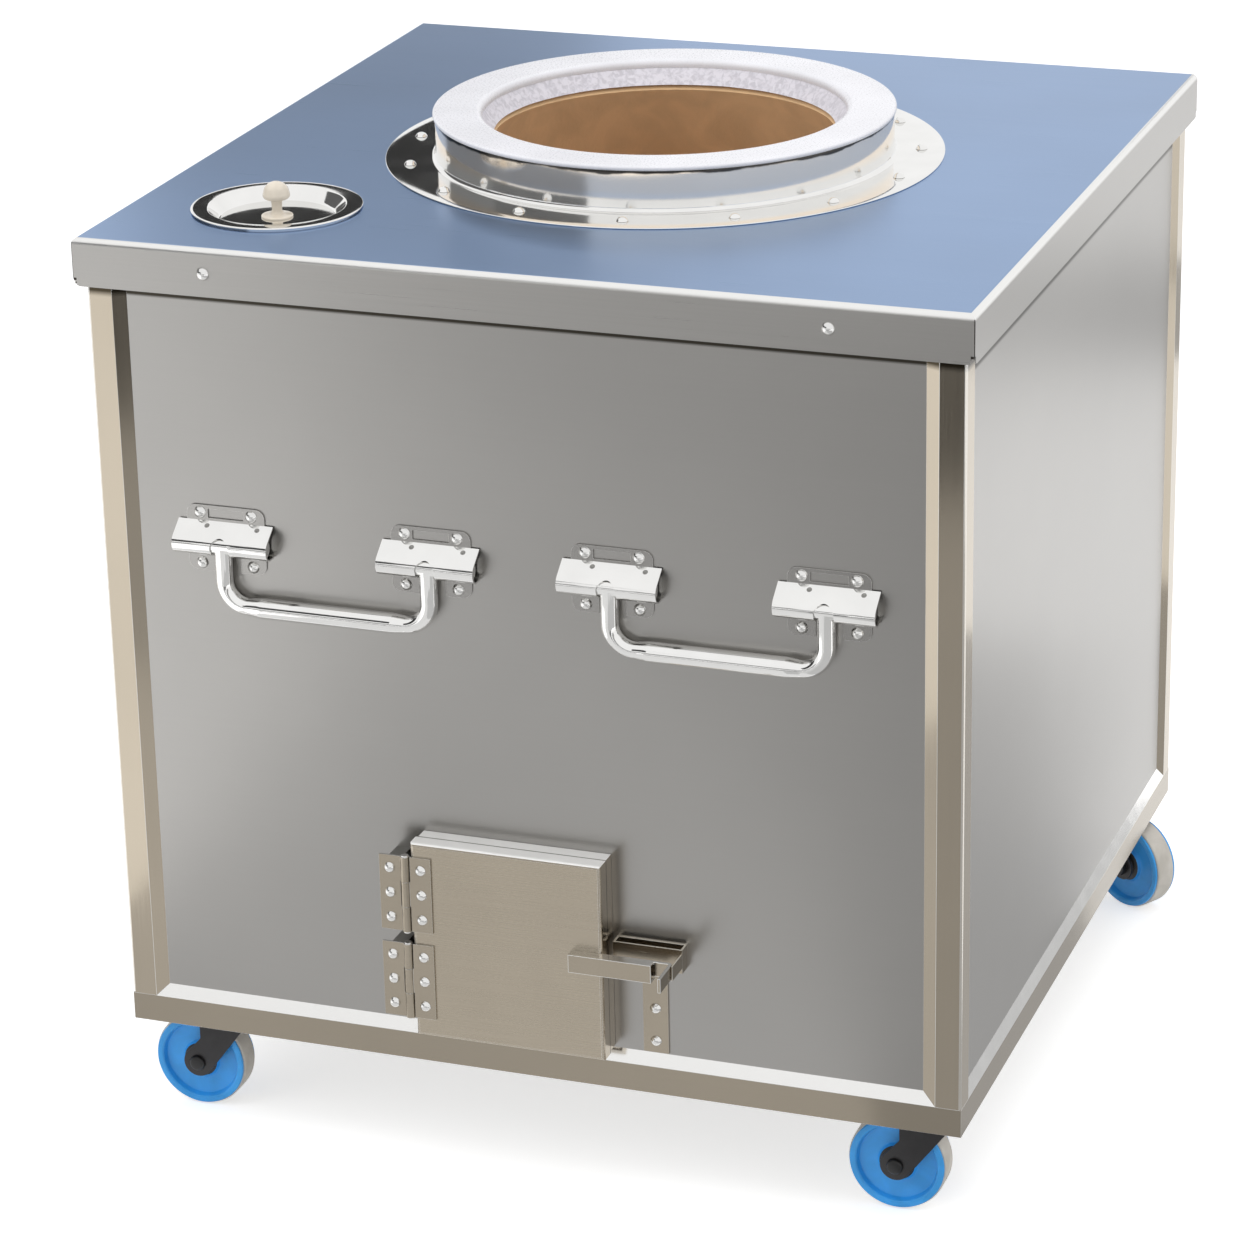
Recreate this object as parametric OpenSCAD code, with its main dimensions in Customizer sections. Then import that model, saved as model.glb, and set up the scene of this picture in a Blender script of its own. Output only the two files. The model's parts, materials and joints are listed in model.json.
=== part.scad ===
// Charcoal clay tandoor oven in a square stainless steel body on four castors.
// Millimetres. X runs to the right, Y to the back, Z up.
// The origin is on the floor, below the middle of everything that stands out. The ash door is at -Y.

/* [Body] */
// Width and depth of the square top cover
cover_w = 860; // [850:10:1050]
// Height of the body, from the bottom rails to the top of the cover
body_h = 800; // [660:10:960]
// Height of the cover's folded lip
lip_h = 46; // [34:1:60]
// How far the lip stands out past the body on each side
overhang = 9; // [6:0.5:14]
// Thickness of the cover sheet, the posts and the rails
sheet_t = 1.5; // [1.2:0.1:2]
// Thickness of the body panels
panel_t = 1.2; // [0.8:0.1:1.5]
// How far the panels lie behind the faces of the posts and rails
panel_recess = 5; // [3:0.5:7]
// Width of the flat part of a corner post
post_flat = 25; // [18:1:32]
// Height of the flat part of a bottom rail
rail_flat = 28; // [22:1:34]
// Width of the sloped edge of the posts and rails
slope_w = 13; // [9:1:16]

/* [Mouth] */
// Radius of the mouth ring's rim
ring_r = 225; // [205:1:226]
// Height of the mouth ring above the cover
ring_h = 46; // [36:1:60]
// Inside radius of the mouth ring
mouth_r = 177; // [165:1:185]
// Outside radius of the collar's flange
flange_r = 272; // [266:1:290]
// Number of rivets in the flange
flange_rivets = 15; // [12:1:20]

/* [Clay pot] */
// Inside radius of the pot at its mouth
pot_mouth_r = 166; // [150:1:170]
// Inside radius of the pot at its belly
pot_belly_r = 250; // [215:1:270]
// Thickness of the pot's wall
pot_wall = 32; // [24:1:38]
// Radius of the draught hole in the pot
draught_r = 58; // [45:1:64]

/* [Lidded well] */
// Radius of the well lid's rim
lid_r = 81; // [72:1:90]
// Distance from the cover's left and front edges to the middle of the well
well_inset = 144; // [130:1:150]
// Depth of the well pot
well_depth = 120; // [80:1:140]

/* [Drop handles] */
// Height of the handle brackets' middle above the bottom of the rails
handle_z = 514; // [420:1:520]
// Distance between the two legs of a handle
bail_span = 206; // [190:1:216]
// Distance from a handle's pivot down to the middle of its grip
bail_drop = 59; // [50:1:80]
// Diameter of the handle's pivot rods
pivot_d = 17; // [14:0.2:21]
// Width of a bracket's base plate
plate_w = 79; // [76:1:84]
// Height of a bracket's base plate
plate_h = 65; // [62:1:72]
// Length of the folded strap over a pivot rod
strap_len = 96; // [88:1:104]
// Thickness of the bracket sheet
bracket_t = 1.6; // [1.2:0.1:2]

/* [Ash door] */
// Width of the ash door
door_w = 190; // [176:1:230]
// Height of the ash door
door_h = 200; // [190:1:240]
// Thickness of the ash door
door_t = 34; // [26:1:42]
// Height of the door's lower edge above the bottom of the rails
door_z = 42; // [42:1:60]
// How far the door's middle lies to the left of the body's middle
door_shift = 13; // [0:1:30]
// Width and height of the ash opening behind the door
duct_w = 150; // [130:1:154]

/* [Castors] */
// Diameter of the castor wheels
wheel_d = 96; // [80:1:116]
// Width of the castor wheels
wheel_w = 30; // [24:1:34]
// Distance from a castor's swivel axis to its wheel axis
castor_trail = 28; // [22:1:34]
// Distance from the cover's left and right sides to the castors' middles
castor_side = 70; // [62:1:90]
// Distance from the cover's front and back sides to the castors' middles
castor_end = 62; // [58:1:90]
// How far the castors are set to the right, so that the trailing wheels stand evenly
castor_shift = 16; // [0:1:18]

/* [Hidden] */
$fn = 64;
arc_steps = 6;       // steps in a small rounded corner
cut = 1;             // how far a cut runs past the face that it opens
run_gap = 0.3;       // gap between faces that move past each other
shaft_gap = 0.06;    // radial gap of a pin or axle in its bore
rivet_gap = 0.05;    // radial gap of a rivet in its hole

// castors
castor_x = cover_w/2 - castor_side;
castor_y = cover_w/2 - castor_end;
fork_t = 2.5;
crown_gap = 5;       // from the top of the wheel to the crown of the fork
race_h = 18.2;
race_r = 25;
castor_plate_t = 4;
castor_plate_w = 76;
pad_recess = 20;     // how far the castors are mounted above the bottom of the rails
pad_t = 4;
crown_z = wheel_d + crown_gap;
crown_r = 27;
plate_z = crown_z + fork_t + run_gap + race_h;
base_z = plate_z + castor_plate_t - pad_recess;
axle_d = 12;
hub_r = 15;          // round lower end of a fork leg
leg_y = wheel_w/2 + 2.5;
kingpin_d = 14;
bolt_step = 30;      // half the spacing of a castor plate's bolts
bolt_d = 8;

// body
body_w = cover_w - 2*overhang;
half = body_w/2;
top_z = base_z + body_h;
panel_y = half - panel_recess;
inner_y = panel_y - panel_t;
floor_z = base_z + pad_recess + pad_t;
floor_t = 1.5;
edge_r = 3;
cover_r = 4;         // bend between the cover and its lip
lip_corner_r = 8;
seam_w = 0.7;        // gap between the lips at the cover's corners
panel_clear = body_w - 2*(post_flat + slope_w);

// rivets: head diameter, shank diameter; a head rises by head_rise of its diameter
head_rise = 0.36;
lip_rivet = [13, 5];
flange_rivet = [12, 5];
handle_rivet = [12, 5];
hinge_rivet = [11, 4];
cleat_x = 298;
cleat_drop = 24;     // from the top of the cover to the lip rivets

// mouth
band_r = ring_r - 2;
fillet_r = 5;
ring_t = 4;
lip_bead = 6;        // radius of the ring's rounded inner edge
liner_drop = 23;     // from the top of the ring to the rim of the pot
flange_rivet_r = (band_r + fillet_r + flange_r)/2 - 1;
flange_rivet_start = 184;
cover_hole_r = band_r - 2;

// clay pot
slab_h = 34;
slab_z = floor_z + floor_t;
pot_bottom = slab_z + slab_h;
pot_floor = 24;
pot_top = top_z + ring_h - liner_drop;
pot_belly_z = pot_bottom + 0.41*(pot_top - pot_bottom);
belly_rise = pot_top - pot_belly_z;
belly_in = pot_belly_r - pot_mouth_r;
belly_r = (belly_rise*belly_rise + belly_in*belly_in)/(2*belly_in);
fill_gap = 0.5;
fill_top = top_z - sheet_t - 2;
fill_half = inner_y - 3;

// ash door
door_x = -door_shift;
door_left = door_x - door_w/2;
door_mid_z = base_z + door_z + door_h/2;
door_face = panel_y + door_t;
tray_t = 1.5;
tray_r = 3;          // rounding of the front tray's edges
tray_depth = door_t/2;
duct_t = 1.5;
duct_z = door_mid_z;

// hinges
leaf_t = 2;
leaf_h = 77;
leaf_w = 21;
leaf_gap = 13;
barrel_r = 4.4;
pin_r = 2.5;
hinge_side = 5;      // from the hinge axis to the door's edge
hinge_x = door_left - hinge_side;
hinge_y = -(door_face + leaf_t/2);
hinge_low_z = base_z + door_z + 19;
hinge_zs = [hinge_low_z, hinge_low_z + leaf_h + leaf_gap];
knuckle_h = leaf_h/3;
rivet_step = 25.5;

// latch
bar_h = 18.4;
bar_d = 12;          // how far the bar stands out from the door's face
bar_wall = 2;
bar_over = 30;       // how far the bar lies over the door's face
bar_past = 52;       // how far it runs past the door's edge
bar_z = base_z + 145;
tongue_h = 14.7;
tongue_t = 3.2;
tongue_past = 70;
tab_reach = 36;      // from the door's face to the end of the tongue's finger tab
tab_r = 4;
door_right = door_x + door_w/2;
tongue_z = bar_z + bar_h/2 - tongue_h;
catch_x = door_right + tongue_past + 0.5;
catch_t = 1.5;
catch_reach = 8;     // how far the spring arm stands in front of the door's face
bridge_off = 14;     // how far the keeper's bridge stands off the panel
bridge_t = 2;
bridge_h = 24;
bridge_gap = 3.6;    // from the door's edge to the bridge
keeper_w = 25;
keeper_x = door_right + 28;
keeper_z = base_z + 42;

// handles
handle_x = panel_clear/4;
rod_r = pivot_d/2;
leg_r = rod_r - 0.3;
grip_r = rod_r + 1.3;
bend_r = 24;
strap_in = rod_r + 0.4;
strap_out = strap_in + bracket_t;
pivot_t = bracket_t + strap_in;
pivot_y = -(panel_y + pivot_t);
pivot_z = base_z + handle_z - 2.5;
bracket_rise = 20;   // from the pivot to the strap's upper edge
rivet_x = 26;
rivet_z = 25;
notch_gap = 1.3;
bail_lift = 80;      // how far a handle swings up

// lidded well
well_x = -cover_w/2 + well_inset;
well_r = lid_r - 14;
lid_t = 1.2;
dish_depth = 11;
lid_z = top_z + 1 + run_gap;

// how far the whole oven reaches from the middle of the body, and the shift that centres it
front_reach = door_face + tab_reach;
back_reach = cover_w/2 + head_rise*lip_rivet[0];
castor_reach = (castor_trail + wheel_d/2 - 3)*cos(30) + (wheel_w/2 - 1.5)*sin(30) + 1.5;
right_reach = max(cover_w/2, castor_x + castor_shift + castor_reach);
centre = [(cover_w/2 - right_reach)/2, (front_reach - back_reach)/2, 0];

module placed() {
    translate(centre) children();
}

function arc(cx, cy, r, a0, a1, n) =
    [for (i = [0:n]) [cx + r*cos(a0 + (a1 - a0)*i/n), cy + r*sin(a0 + (a1 - a0)*i/n)]];

function round_rect(w, h, r) = concat(
    arc(w/2 - r, h/2 - r, r, 0, 90, arc_steps),
    arc(-w/2 + r, h/2 - r, r, 90, 180, arc_steps),
    arc(-w/2 + r, -h/2 + r, r, 180, 270, arc_steps),
    arc(w/2 - r, -h/2 + r, r, 270, 360, arc_steps));

// Angle at which the line from point p touches a circle at c, on its left (1) or right (-1)
function touch_angle(p, c, r, side) =
    atan2(p[1] - c[1], p[0] - c[0]) + side*acos(r/norm(p - c));

// Turns a shape drawn in X and Z, with its thickness towards +Z, to stand with that thickness towards -Y
module stand_front() {
    rotate([90, 0, 0]) children();
}

// Rivet along Z: domed head above the surface at z = 0, shank and flat tail below it
module rivet(size, grip) {
    head_r = size[0]/2;
    head_h = head_rise*size[0];
    dome_r = (head_r*head_r + head_h*head_h)/(2*head_h);
    dome_a = asin(head_r/dome_r);
    shank_r = size[1]/2;
    rotate_extrude()
        polygon(concat(
            [for (i = [0:arc_steps]) [dome_r*sin(dome_a*i/arc_steps),
                head_h - dome_r + dome_r*cos(dome_a*i/arc_steps)]],
            [[shank_r, 0], [shank_r, -grip], [shank_r*1.6, -grip], [shank_r*1.6, -grip - 1.5],
             [0, -grip - 1.5]]));
}

module rivet_hole(size, depth) {
    translate([0, 0, -depth]) cylinder(r = size[1]/2 + rivet_gap, h = depth + cut);
}

// ---- body ----

// Tray with rounded upper edges, open below
module cover_block(w, h, r) {
    profile = concat([[-w/2, -h]], [[w/2, -h]], arc(w/2 - r, -r, r, 0, 90, arc_steps),
        arc(-w/2 + r, -r, r, 90, 180, arc_steps));
    intersection() {
        translate([0, w/2, 0]) rotate([90, 0, 0]) linear_extrude(w) polygon(profile);
        rotate([0, 0, 90]) translate([0, w/2, 0]) rotate([90, 0, 0]) linear_extrude(w) polygon(profile);
    }
}

// Rounds the lower corner of a lip, seen from the front
module lip_corner() {
    difference() {
        translate([-cut, -cut]) square(lip_corner_r + cut);
        translate([lip_corner_r, lip_corner_r]) circle(r = lip_corner_r);
    }
}

module top_cover() {
    color("lightsteelblue")
    difference() {
        translate([0, 0, top_z]) difference() {
            cover_block(cover_w, lip_h, cover_r);
            translate([0, 0, -sheet_t]) cover_block(cover_w - 2*sheet_t, lip_h, cover_r - sheet_t);
        }
        translate([0, 0, top_z - 10]) cylinder(r = cover_hole_r, h = 20);
        translate([well_x, well_x, top_z - 10]) cylinder(r = well_r + run_gap, h = 20);
        for (side = [0, 90, 180, 270], m = [0, 1]) rotate([0, 0, side]) mirror([m, 0, 0])
            translate([-cover_w/2, -cover_w/2 + sheet_t + cut, top_z - lip_h])
                rotate([90, 0, 0]) linear_extrude(sheet_t + 2*cut) lip_corner();
        // seams where the folded lips meet
        for (side = [0, 90, 180, 270]) rotate([0, 0, side])
            translate([-cover_w/2, -cover_w/2, top_z - lip_h - cut]) rotate([0, 0, 45])
                translate([-2, -seam_w/2, 0]) cube([6, seam_w, lip_h - cover_r + cut]);
        lip_rivets() rivet_hole(lip_rivet, 2*sheet_t);
        flange_rivet_ring() rivet_hole(flange_rivet, 3*sheet_t);
    }
}

module lip_rivets() {
    for (side = [0, 180], x = [-cleat_x, cleat_x]) rotate([0, 0, side])
        translate([x, -cover_w/2, top_z - cleat_drop]) rotate([90, 0, 0]) children();
}

module cover_rivets() {
    color("gainsboro") lip_rivets() rivet(lip_rivet, sheet_t + cleat_t() + panel_t);
}

function cleat_t() = overhang - sheet_t + panel_recess;

// Blocks that carry the front and rear lips on the panels
module cover_cleats() {
    color("silver")
    difference() {
        for (side = [0, 180], x = [-cleat_x, cleat_x]) rotate([0, 0, side])
            translate([x - 20, -cover_w/2 + sheet_t, top_z - cleat_drop - 10])
                cube([40, cleat_t(), 20]);
        lip_rivets() rivet_hole(lip_rivet, 40);
    }
}

// Section of a bottom rail: depth from the outer face, height from the bottom
function rail_profile() =
    let (rise = sheet_t*sqrt(panel_recess*panel_recess + slope_w*slope_w)/panel_recess,
         pitch = slope_w/panel_recess)
    [[0, 0], [0, rail_flat], [panel_recess, rail_flat + slope_w],
     [panel_recess, rail_flat + slope_w - rise],
     [sheet_t, rail_flat + sheet_t*pitch - rise],
     [sheet_t, sheet_t], [panel_recess + panel_t, sheet_t], [panel_recess + panel_t, 0]];

// One rail along the front, mitred at both ends
module base_rail() {
    difference() {
        translate([-half, -half, base_z]) rotate([90, 0, 90]) linear_extrude(body_w)
            polygon(rail_profile());
        for (m = [0, 1]) mirror([m, 0, 0]) {
            translate([half, -half, base_z - cut]) rotate([0, 0, 45])
                translate([0, -40, 0]) cube([60, 80, rail_flat + slope_w + 2*cut]);
            translate([half - post_flat, -half + 20, base_z + rail_flat]) rotate([90, 0, 0])
                linear_extrude(20 + cut) polygon([[0, 0], [-60, 60], [60, 60], [60, 0]]);
        }
    }
}

module base_rails() {
    color("tan")
    for (side = [0, 90, 180, 270]) rotate([0, 0, side]) base_rail();
}

// Section of a corner post at the front left corner
function post_leg() =
    let (rise = sheet_t*sqrt(panel_recess*panel_recess + slope_w*slope_w)/panel_recess,
         pitch = slope_w/panel_recess)
    [[post_flat, 0], [post_flat + slope_w, panel_recess],
     [post_flat + slope_w - rise, panel_recess],
     [post_flat + sheet_t*pitch - rise, sheet_t]];

function swap(points) = [for (i = [len(points) - 1:-1:0]) [points[i][1], points[i][0]]];

module corner_post() {
    height = top_z - sheet_t - base_z - rail_flat;
    translate([-half, -half, base_z + rail_flat])
    difference() {
        linear_extrude(height) polygon(concat(
            arc(edge_r, edge_r, edge_r, 180, 270, arc_steps),
            post_leg(), [[sheet_t, sheet_t]], swap(post_leg())));
        // mitres against the rails' sloped edges
        translate([post_flat, -cut, 0]) rotate([0, 45, 0]) cube([60, 20, 60]);
        translate([-cut, post_flat, 0]) rotate([-45, 0, 0]) cube([20, 60, 60]);
    }
}

module corner_posts() {
    color("silver")
    for (side = [0, 90, 180, 270]) rotate([0, 0, side]) corner_post();
}

panel_low = base_z + sheet_t;
panel_high = top_z - sheet_t;
corner_step = 3;     // from a panel's end to the face of the next panel

module panel(w) {
    translate([-w/2, -panel_y, panel_low]) cube([w, panel_t, panel_high - panel_low]);
}

module front_panel() {
    color("darkgray")
    difference() {
        panel(2*inner_y - 2*corner_step);
        translate([door_x - duct_w/2 + duct_t, -half, duct_z - duct_w/2 + duct_t])
            cube([duct_w - 2*duct_t, 30, duct_w - 2*duct_t]);
        lip_rivets() rivet_hole(lip_rivet, 40);
        handle_rivet_places() rivet_hole(handle_rivet, 20);
        hinge_fixed_places() rivet_hole(hinge_rivet, door_t + 20);
        keeper_places() rivet_hole(hinge_rivet, 20);
    }
}

module rear_panel() {
    color("darkgray")
    difference() {
        rotate([0, 0, 180]) panel(2*inner_y - 2*corner_step);
        lip_rivets() rivet_hole(lip_rivet, 40);
    }
}

module left_panel() {
    color("darkgray") rotate([0, 0, -90]) panel(2*inner_y - 2*corner_step);
}

module right_panel() {
    color("darkgray") rotate([0, 0, 90]) panel(2*inner_y - 2*corner_step);
}

module floor_plate() {
    color("silver") translate([-inner_y, -inner_y, floor_z]) cube([2*inner_y, 2*inner_y, floor_t]);
}

function castor_place(i) = [
    (i == 0 || i == 2 ? -castor_x : castor_x) + castor_shift,
    (i < 2 ? -castor_y : castor_y)];

// Turn of each castor about its swivel axis: front left, front right, rear left, rear right
castor_turn = [0, 0, 0, 150];

module castor_pads() {
    pad_w = 110;
    color("dimgray")
    difference() {
        for (x = [-1, 1], y = [-1, 1])
            translate([x > 0 ? inner_y - pad_w : -inner_y, y > 0 ? inner_y - pad_w : -inner_y,
                floor_z - pad_t]) cube([pad_w, pad_w, pad_t]);
        castor_bolt_places() translate([0, 0, -cut]) cylinder(d = bolt_d + 1, h = pad_t + 2*cut);
    }
}

// ---- mouth ----

module mouth_collar() {
    color("gainsboro")
    difference() {
        translate([0, 0, top_z]) rotate_extrude($fn = 128) polygon(concat(
            [[band_r - sheet_t, 0], [flange_r - 1, 0], [flange_r, 1], [flange_r - 0.5, sheet_t]],
            arc(band_r + fillet_r, sheet_t + fillet_r, fillet_r, 270, 180, arc_steps),
            [[band_r, ring_h - ring_t], [band_r - sheet_t, ring_h - ring_t]]));
        flange_rivet_ring() rivet_hole(flange_rivet, 2*sheet_t);
    }
}

module flange_rivet_ring() {
    for (i = [0:flange_rivets - 1]) rotate([0, 0, flange_rivet_start + i*360/flange_rivets])
        translate([flange_rivet_r, 0, top_z + sheet_t]) children();
}

module collar_rivets() {
    color("gainsboro") flange_rivet_ring() rivet(flange_rivet, 2*sheet_t);
}

// Flat top ring with a rounded outer rim and a rolled inner edge
module mouth_ring() {
    color("whitesmoke") translate([0, 0, top_z + ring_h]) rotate_extrude($fn = 128)
        polygon(concat(
            [[ring_r - 1, -ring_t], [ring_r, 1 - ring_t]],
            arc(ring_r - 2, -2, 2, 0, 90, 3),
            arc(mouth_r + lip_bead, -lip_bead, lip_bead, 90, 180, arc_steps),
            [[mouth_r, -lip_bead - 2], [mouth_r + 3, -lip_bead - 2]],
            [[mouth_r + 3, -lip_bead + 0.5], [mouth_r + lip_bead, -ring_t]]));
}

// Mortar cone between the steel ring and the rim of the pot
module rim_liner() {
    color("lavender") translate([0, 0, top_z + ring_h]) rotate_extrude($fn = 128) polygon([
        [mouth_r, -lip_bead - 2], [pot_mouth_r - 0.5, -liner_drop], [band_r - sheet_t - fill_gap, -liner_drop],
        [band_r - sheet_t - fill_gap, -ring_t], [mouth_r + lip_bead, -ring_t],
        [mouth_r + 3, -lip_bead + 0.5], [mouth_r + 3, -lip_bead - 2]]);
}

// ---- clay pot ----

// Half section of the barrel shape, bulged by the belly radius, grown by extra
module barrel(extra) {
    intersection() {
        translate([pot_belly_r - belly_r, pot_belly_z]) circle(r = belly_r + extra, $fn = 256);
        translate([0, pot_bottom]) square([pot_belly_r + extra, pot_top - pot_bottom]);
    }
}

module draught(r) {
    translate([door_x, -pot_belly_r - pot_wall - 20, duct_z]) rotate([-90, 0, 0])
        cylinder(r = r, h = pot_belly_r);
}

module clay_pot() {
    color("peru")
    difference() {
        rotate_extrude($fn = 128) difference() {
            barrel(pot_wall);
            intersection() {
                barrel(0);
                translate([0, pot_bottom + pot_floor]) square([pot_belly_r*2, body_h*2]);
            }
        }
        draught(draught_r);
    }
}

module hearth_slab() {
    color("rosybrown") translate([0, 0, slab_z]) cylinder(r = pot_belly_r, h = slab_h, $fn = 128);
}

module insulation() {
    color("khaki")
    difference() {
        translate([-fill_half, -fill_half, slab_z])
            cube([2*fill_half, 2*fill_half, fill_top - slab_z]);
        rotate_extrude($fn = 128) barrel(pot_wall + fill_gap);
        translate([0, 0, slab_z - cut])
            cylinder(r = pot_belly_r + fill_gap, h = slab_h + 2*cut, $fn = 128);
        translate([door_x - duct_w/2 - fill_gap, -half, duct_z - duct_w/2 - fill_gap])
            cube([duct_w + 2*fill_gap, half - pot_belly_r + 40, duct_w + 2*fill_gap]);
        translate([well_x, well_x, fill_top - well_depth])
            cylinder(r = well_r + fill_gap, h = well_depth + cut);
    }
}

duct_end = pot_belly_r + 16;

module ash_duct() {
    color("silver") translate([door_x, -inner_y, duct_z])
    difference() {
        translate([-duct_w/2, 0, -duct_w/2]) cube([duct_w, inner_y - duct_end, duct_w]);
        translate([-duct_w/2 + duct_t, -cut, -duct_w/2 + duct_t])
            cube([duct_w - 2*duct_t, inner_y, duct_w - 2*duct_t]);
        translate([-door_x, inner_y, -duct_z]) rotate_extrude($fn = 128) barrel(pot_wall + fill_gap);
    }
}

// ---- lidded well ----

module well_pot() {
    wall = 1;
    color("silver") translate([well_x, well_x, top_z]) rotate_extrude() polygon(concat(
        [[0, -well_depth], [0, wall - well_depth]],
        arc(well_r - 10, 10 - well_depth, 10 - wall, 270, 360, arc_steps),
        [[well_r - wall, wall], [lid_r - 2, wall], [lid_r - 2, 0], [well_r, 0]],
        arc(well_r - 10, 10 - well_depth, 10, 360, 270, arc_steps)));
}

// Dished lid: flat rim, sloped wall and flat floor
module dish_lid() {
    wall_top = well_r - 1.6;
    wall_low = well_r - 10;
    color("silver") translate([well_x, well_x, lid_z]) rotate_extrude() polygon([
        [0, lid_t - dish_depth], [wall_low - 1, lid_t - dish_depth], [wall_top - 1.5, lid_t],
        [lid_r - 1, lid_t], [lid_r, lid_t - 1], [lid_r, 0], [wall_top, 0],
        [wall_low, -dish_depth], [4, -dish_depth], [4, -dish_depth - 1.5], [0, -dish_depth - 1.5]]);
}

// Mushroom knob with a neck and a round base
module lid_knob() {
    head_r = 13;
    base_r = 15;
    neck_r = 4.5;
    head_z = 17;
    head_h = 9;
    color("beige") translate([well_x, well_x, lid_z + lid_t - dish_depth]) rotate_extrude()
        polygon(concat(
            [[0, 0], [base_r, 0], [base_r, 1], [base_r - 2, 2], [8, 2.5]],
            arc(neck_r + 5, 8, 5, 235, 160, arc_steps),
            [[neck_r + 1, head_z]],
            arc(head_r - 4, head_z + 4, 4, 285, 360, 4),
            arc(0, head_z + 4, head_r, 0, 90, 1)));
}

// ---- drop handles ----

handle_sides = [-handle_x, handle_x];

module bracket_places() {
    for (x = handle_sides, leg = [-bail_span/2, bail_span/2])
        translate([x + leg, -panel_y, base_z + handle_z]) children();
}

module handle_rivet_places() {
    bracket_places() for (x = [-rivet_x, rivet_x], z = [-rivet_z, rivet_z])
        translate([x, -bracket_t, z]) rotate([90, 0, 0]) children();
}

// Base plate with a window between its upper rivets and a slot between its lower ones
module handle_plates() {
    window_w = 36;
    window_h = 9;
    slot_w = 26;
    color("gainsboro")
    difference() {
        bracket_places() stand_front() linear_extrude(bracket_t) difference() {
            polygon(round_rect(plate_w, plate_h, 9));
            translate([-window_w/2, rivet_z - window_h/2 - 0.5]) square([window_w, window_h]);
            translate([-slot_w/2, -plate_h/2 - cut]) square([slot_w, plate_h/2 - 14 + cut]);
        }
        handle_rivet_places() rivet_hole(handle_rivet, 20);
    }
}

// Half of the leg's path from hanging to raised, as a cut around the pivot
module leg_sweep() {
    reach = 60;
    w = leg_r + notch_gap;
    steps = 4;
    for (a = [0, bail_lift]) rotate([-a, 0, 0]) translate([0, 0, -reach]) cylinder(r = w, h = reach);
    translate([-w, 0, 0]) rotate([90, 0, 90]) linear_extrude(2*w)
        polygon(concat([[0, 0]], arc(0, 0, reach, 270, 270 - bail_lift, steps)));
}

// Strap section: distance from the panel, height above the pivot
function strap_profile() =
    let (top = [bracket_t, bracket_rise],
         c = [pivot_t, 0],
         a = touch_angle(top, c, strap_out, -1))
    concat([top], arc(pivot_t, 0, strap_out, a, -90, 10), [[bracket_t, -strap_out]],
        [[bracket_t, -strap_in]], arc(pivot_t, 0, strap_in, -90, a, 10),
        [[bracket_t, bracket_rise - bracket_t/sin(a)]]);

module handle_straps() {
    color("gainsboro")
    for (x = handle_sides, leg = [-bail_span/2, bail_span/2])
        translate([x + leg, -panel_y, pivot_z]) difference() {
            translate([strap_len/2, 0, 0]) rotate([90, 0, -90]) linear_extrude(strap_len)
                polygon(strap_profile());
            translate([0, -pivot_t, 0]) leg_sweep();
        }
}

module handle_rivets() {
    color("gainsboro") handle_rivet_places() rivet(handle_rivet, bracket_t + panel_t);
}

// Quarter bend from a leg into the grip, on the left of a handle
module bail_bend() {
    translate([bend_r, 0, 0]) rotate([90, 0, 0]) rotate([0, 0, 180]) rotate_extrude(angle = 90)
        translate([bend_r, 0]) circle(r = leg_r);
}

// U-shaped handle: two pivot rods, two legs, two bends and a swelled grip
module bail() {
    pivot_len = strap_len - 8;
    grip_len = bail_span - 2*bend_r;
    swell = 14;
    color("gainsboro") {
        for (m = [0, 1]) mirror([m, 0, 0]) translate([-bail_span/2, 0, 0]) {
            translate([-pivot_len/2, 0, 0]) rotate([0, 90, 0]) cylinder(r = rod_r, h = pivot_len);
            translate([0, 0, bend_r - bail_drop]) cylinder(r = leg_r, h = bail_drop - bend_r);
            translate([0, 0, bend_r - bail_drop]) bail_bend();
        }
        translate([-grip_len/2, 0, -bail_drop]) rotate([0, 90, 0]) rotate_extrude() polygon([
            [0, 0], [leg_r, 0], [grip_r, swell], [grip_r, grip_len - swell], [leg_r, grip_len],
            [0, grip_len]]);
    }
}

module left_bail() {
    translate([handle_sides[0], pivot_y, pivot_z]) bail();
}

module right_bail() {
    translate([handle_sides[1], pivot_y, pivot_z]) bail();
}

// ---- ash door ----

// Shallow tray, open at the back, with rounded front edges; its back lies at y = 0
module tray(w, h, depth, r) {
    function side(s) = concat([[-s/2, 0], [s/2, 0]],
        arc(s/2 - r, depth - r, r, 0, 90, 3), arc(-s/2 + r, depth - r, r, 90, 180, 3));
    intersection() {
        translate([0, 0, -h/2]) rotate([0, 0, 180]) linear_extrude(h) polygon(side(w));
        translate([-w/2, 0, 0]) rotate([0, -90, 180]) linear_extrude(w) polygon(side(h));
    }
}

module door_front() {
    color("silver") translate([door_x, -panel_y - door_t + tray_depth, door_mid_z])
    difference() {
        tray(door_w, door_h, tray_depth, tray_r);
        translate([0, cut, 0])
            tray(door_w - 2*tray_t, door_h - 2*tray_t, tray_depth - tray_t + cut, tray_r - tray_t);
        translate([-door_x, panel_y + door_t - tray_depth, -door_mid_z])
            hinge_door_places() rivet_hole(hinge_rivet, 20);
    }
}

module door_rear() {
    inset = 1;
    w = door_w - 2*inset;
    h = door_h - 2*inset;
    depth = tray_depth - run_gap;
    color("silver") translate([door_x, -panel_y - run_gap, door_mid_z])
    difference() {
        translate([-w/2, -depth, -h/2]) cube([w, depth, h]);
        translate([-w/2 + tray_t, -depth - cut, -h/2 + tray_t])
            cube([w - 2*tray_t, depth - tray_t + cut, h - 2*tray_t]);
    }
}

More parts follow.
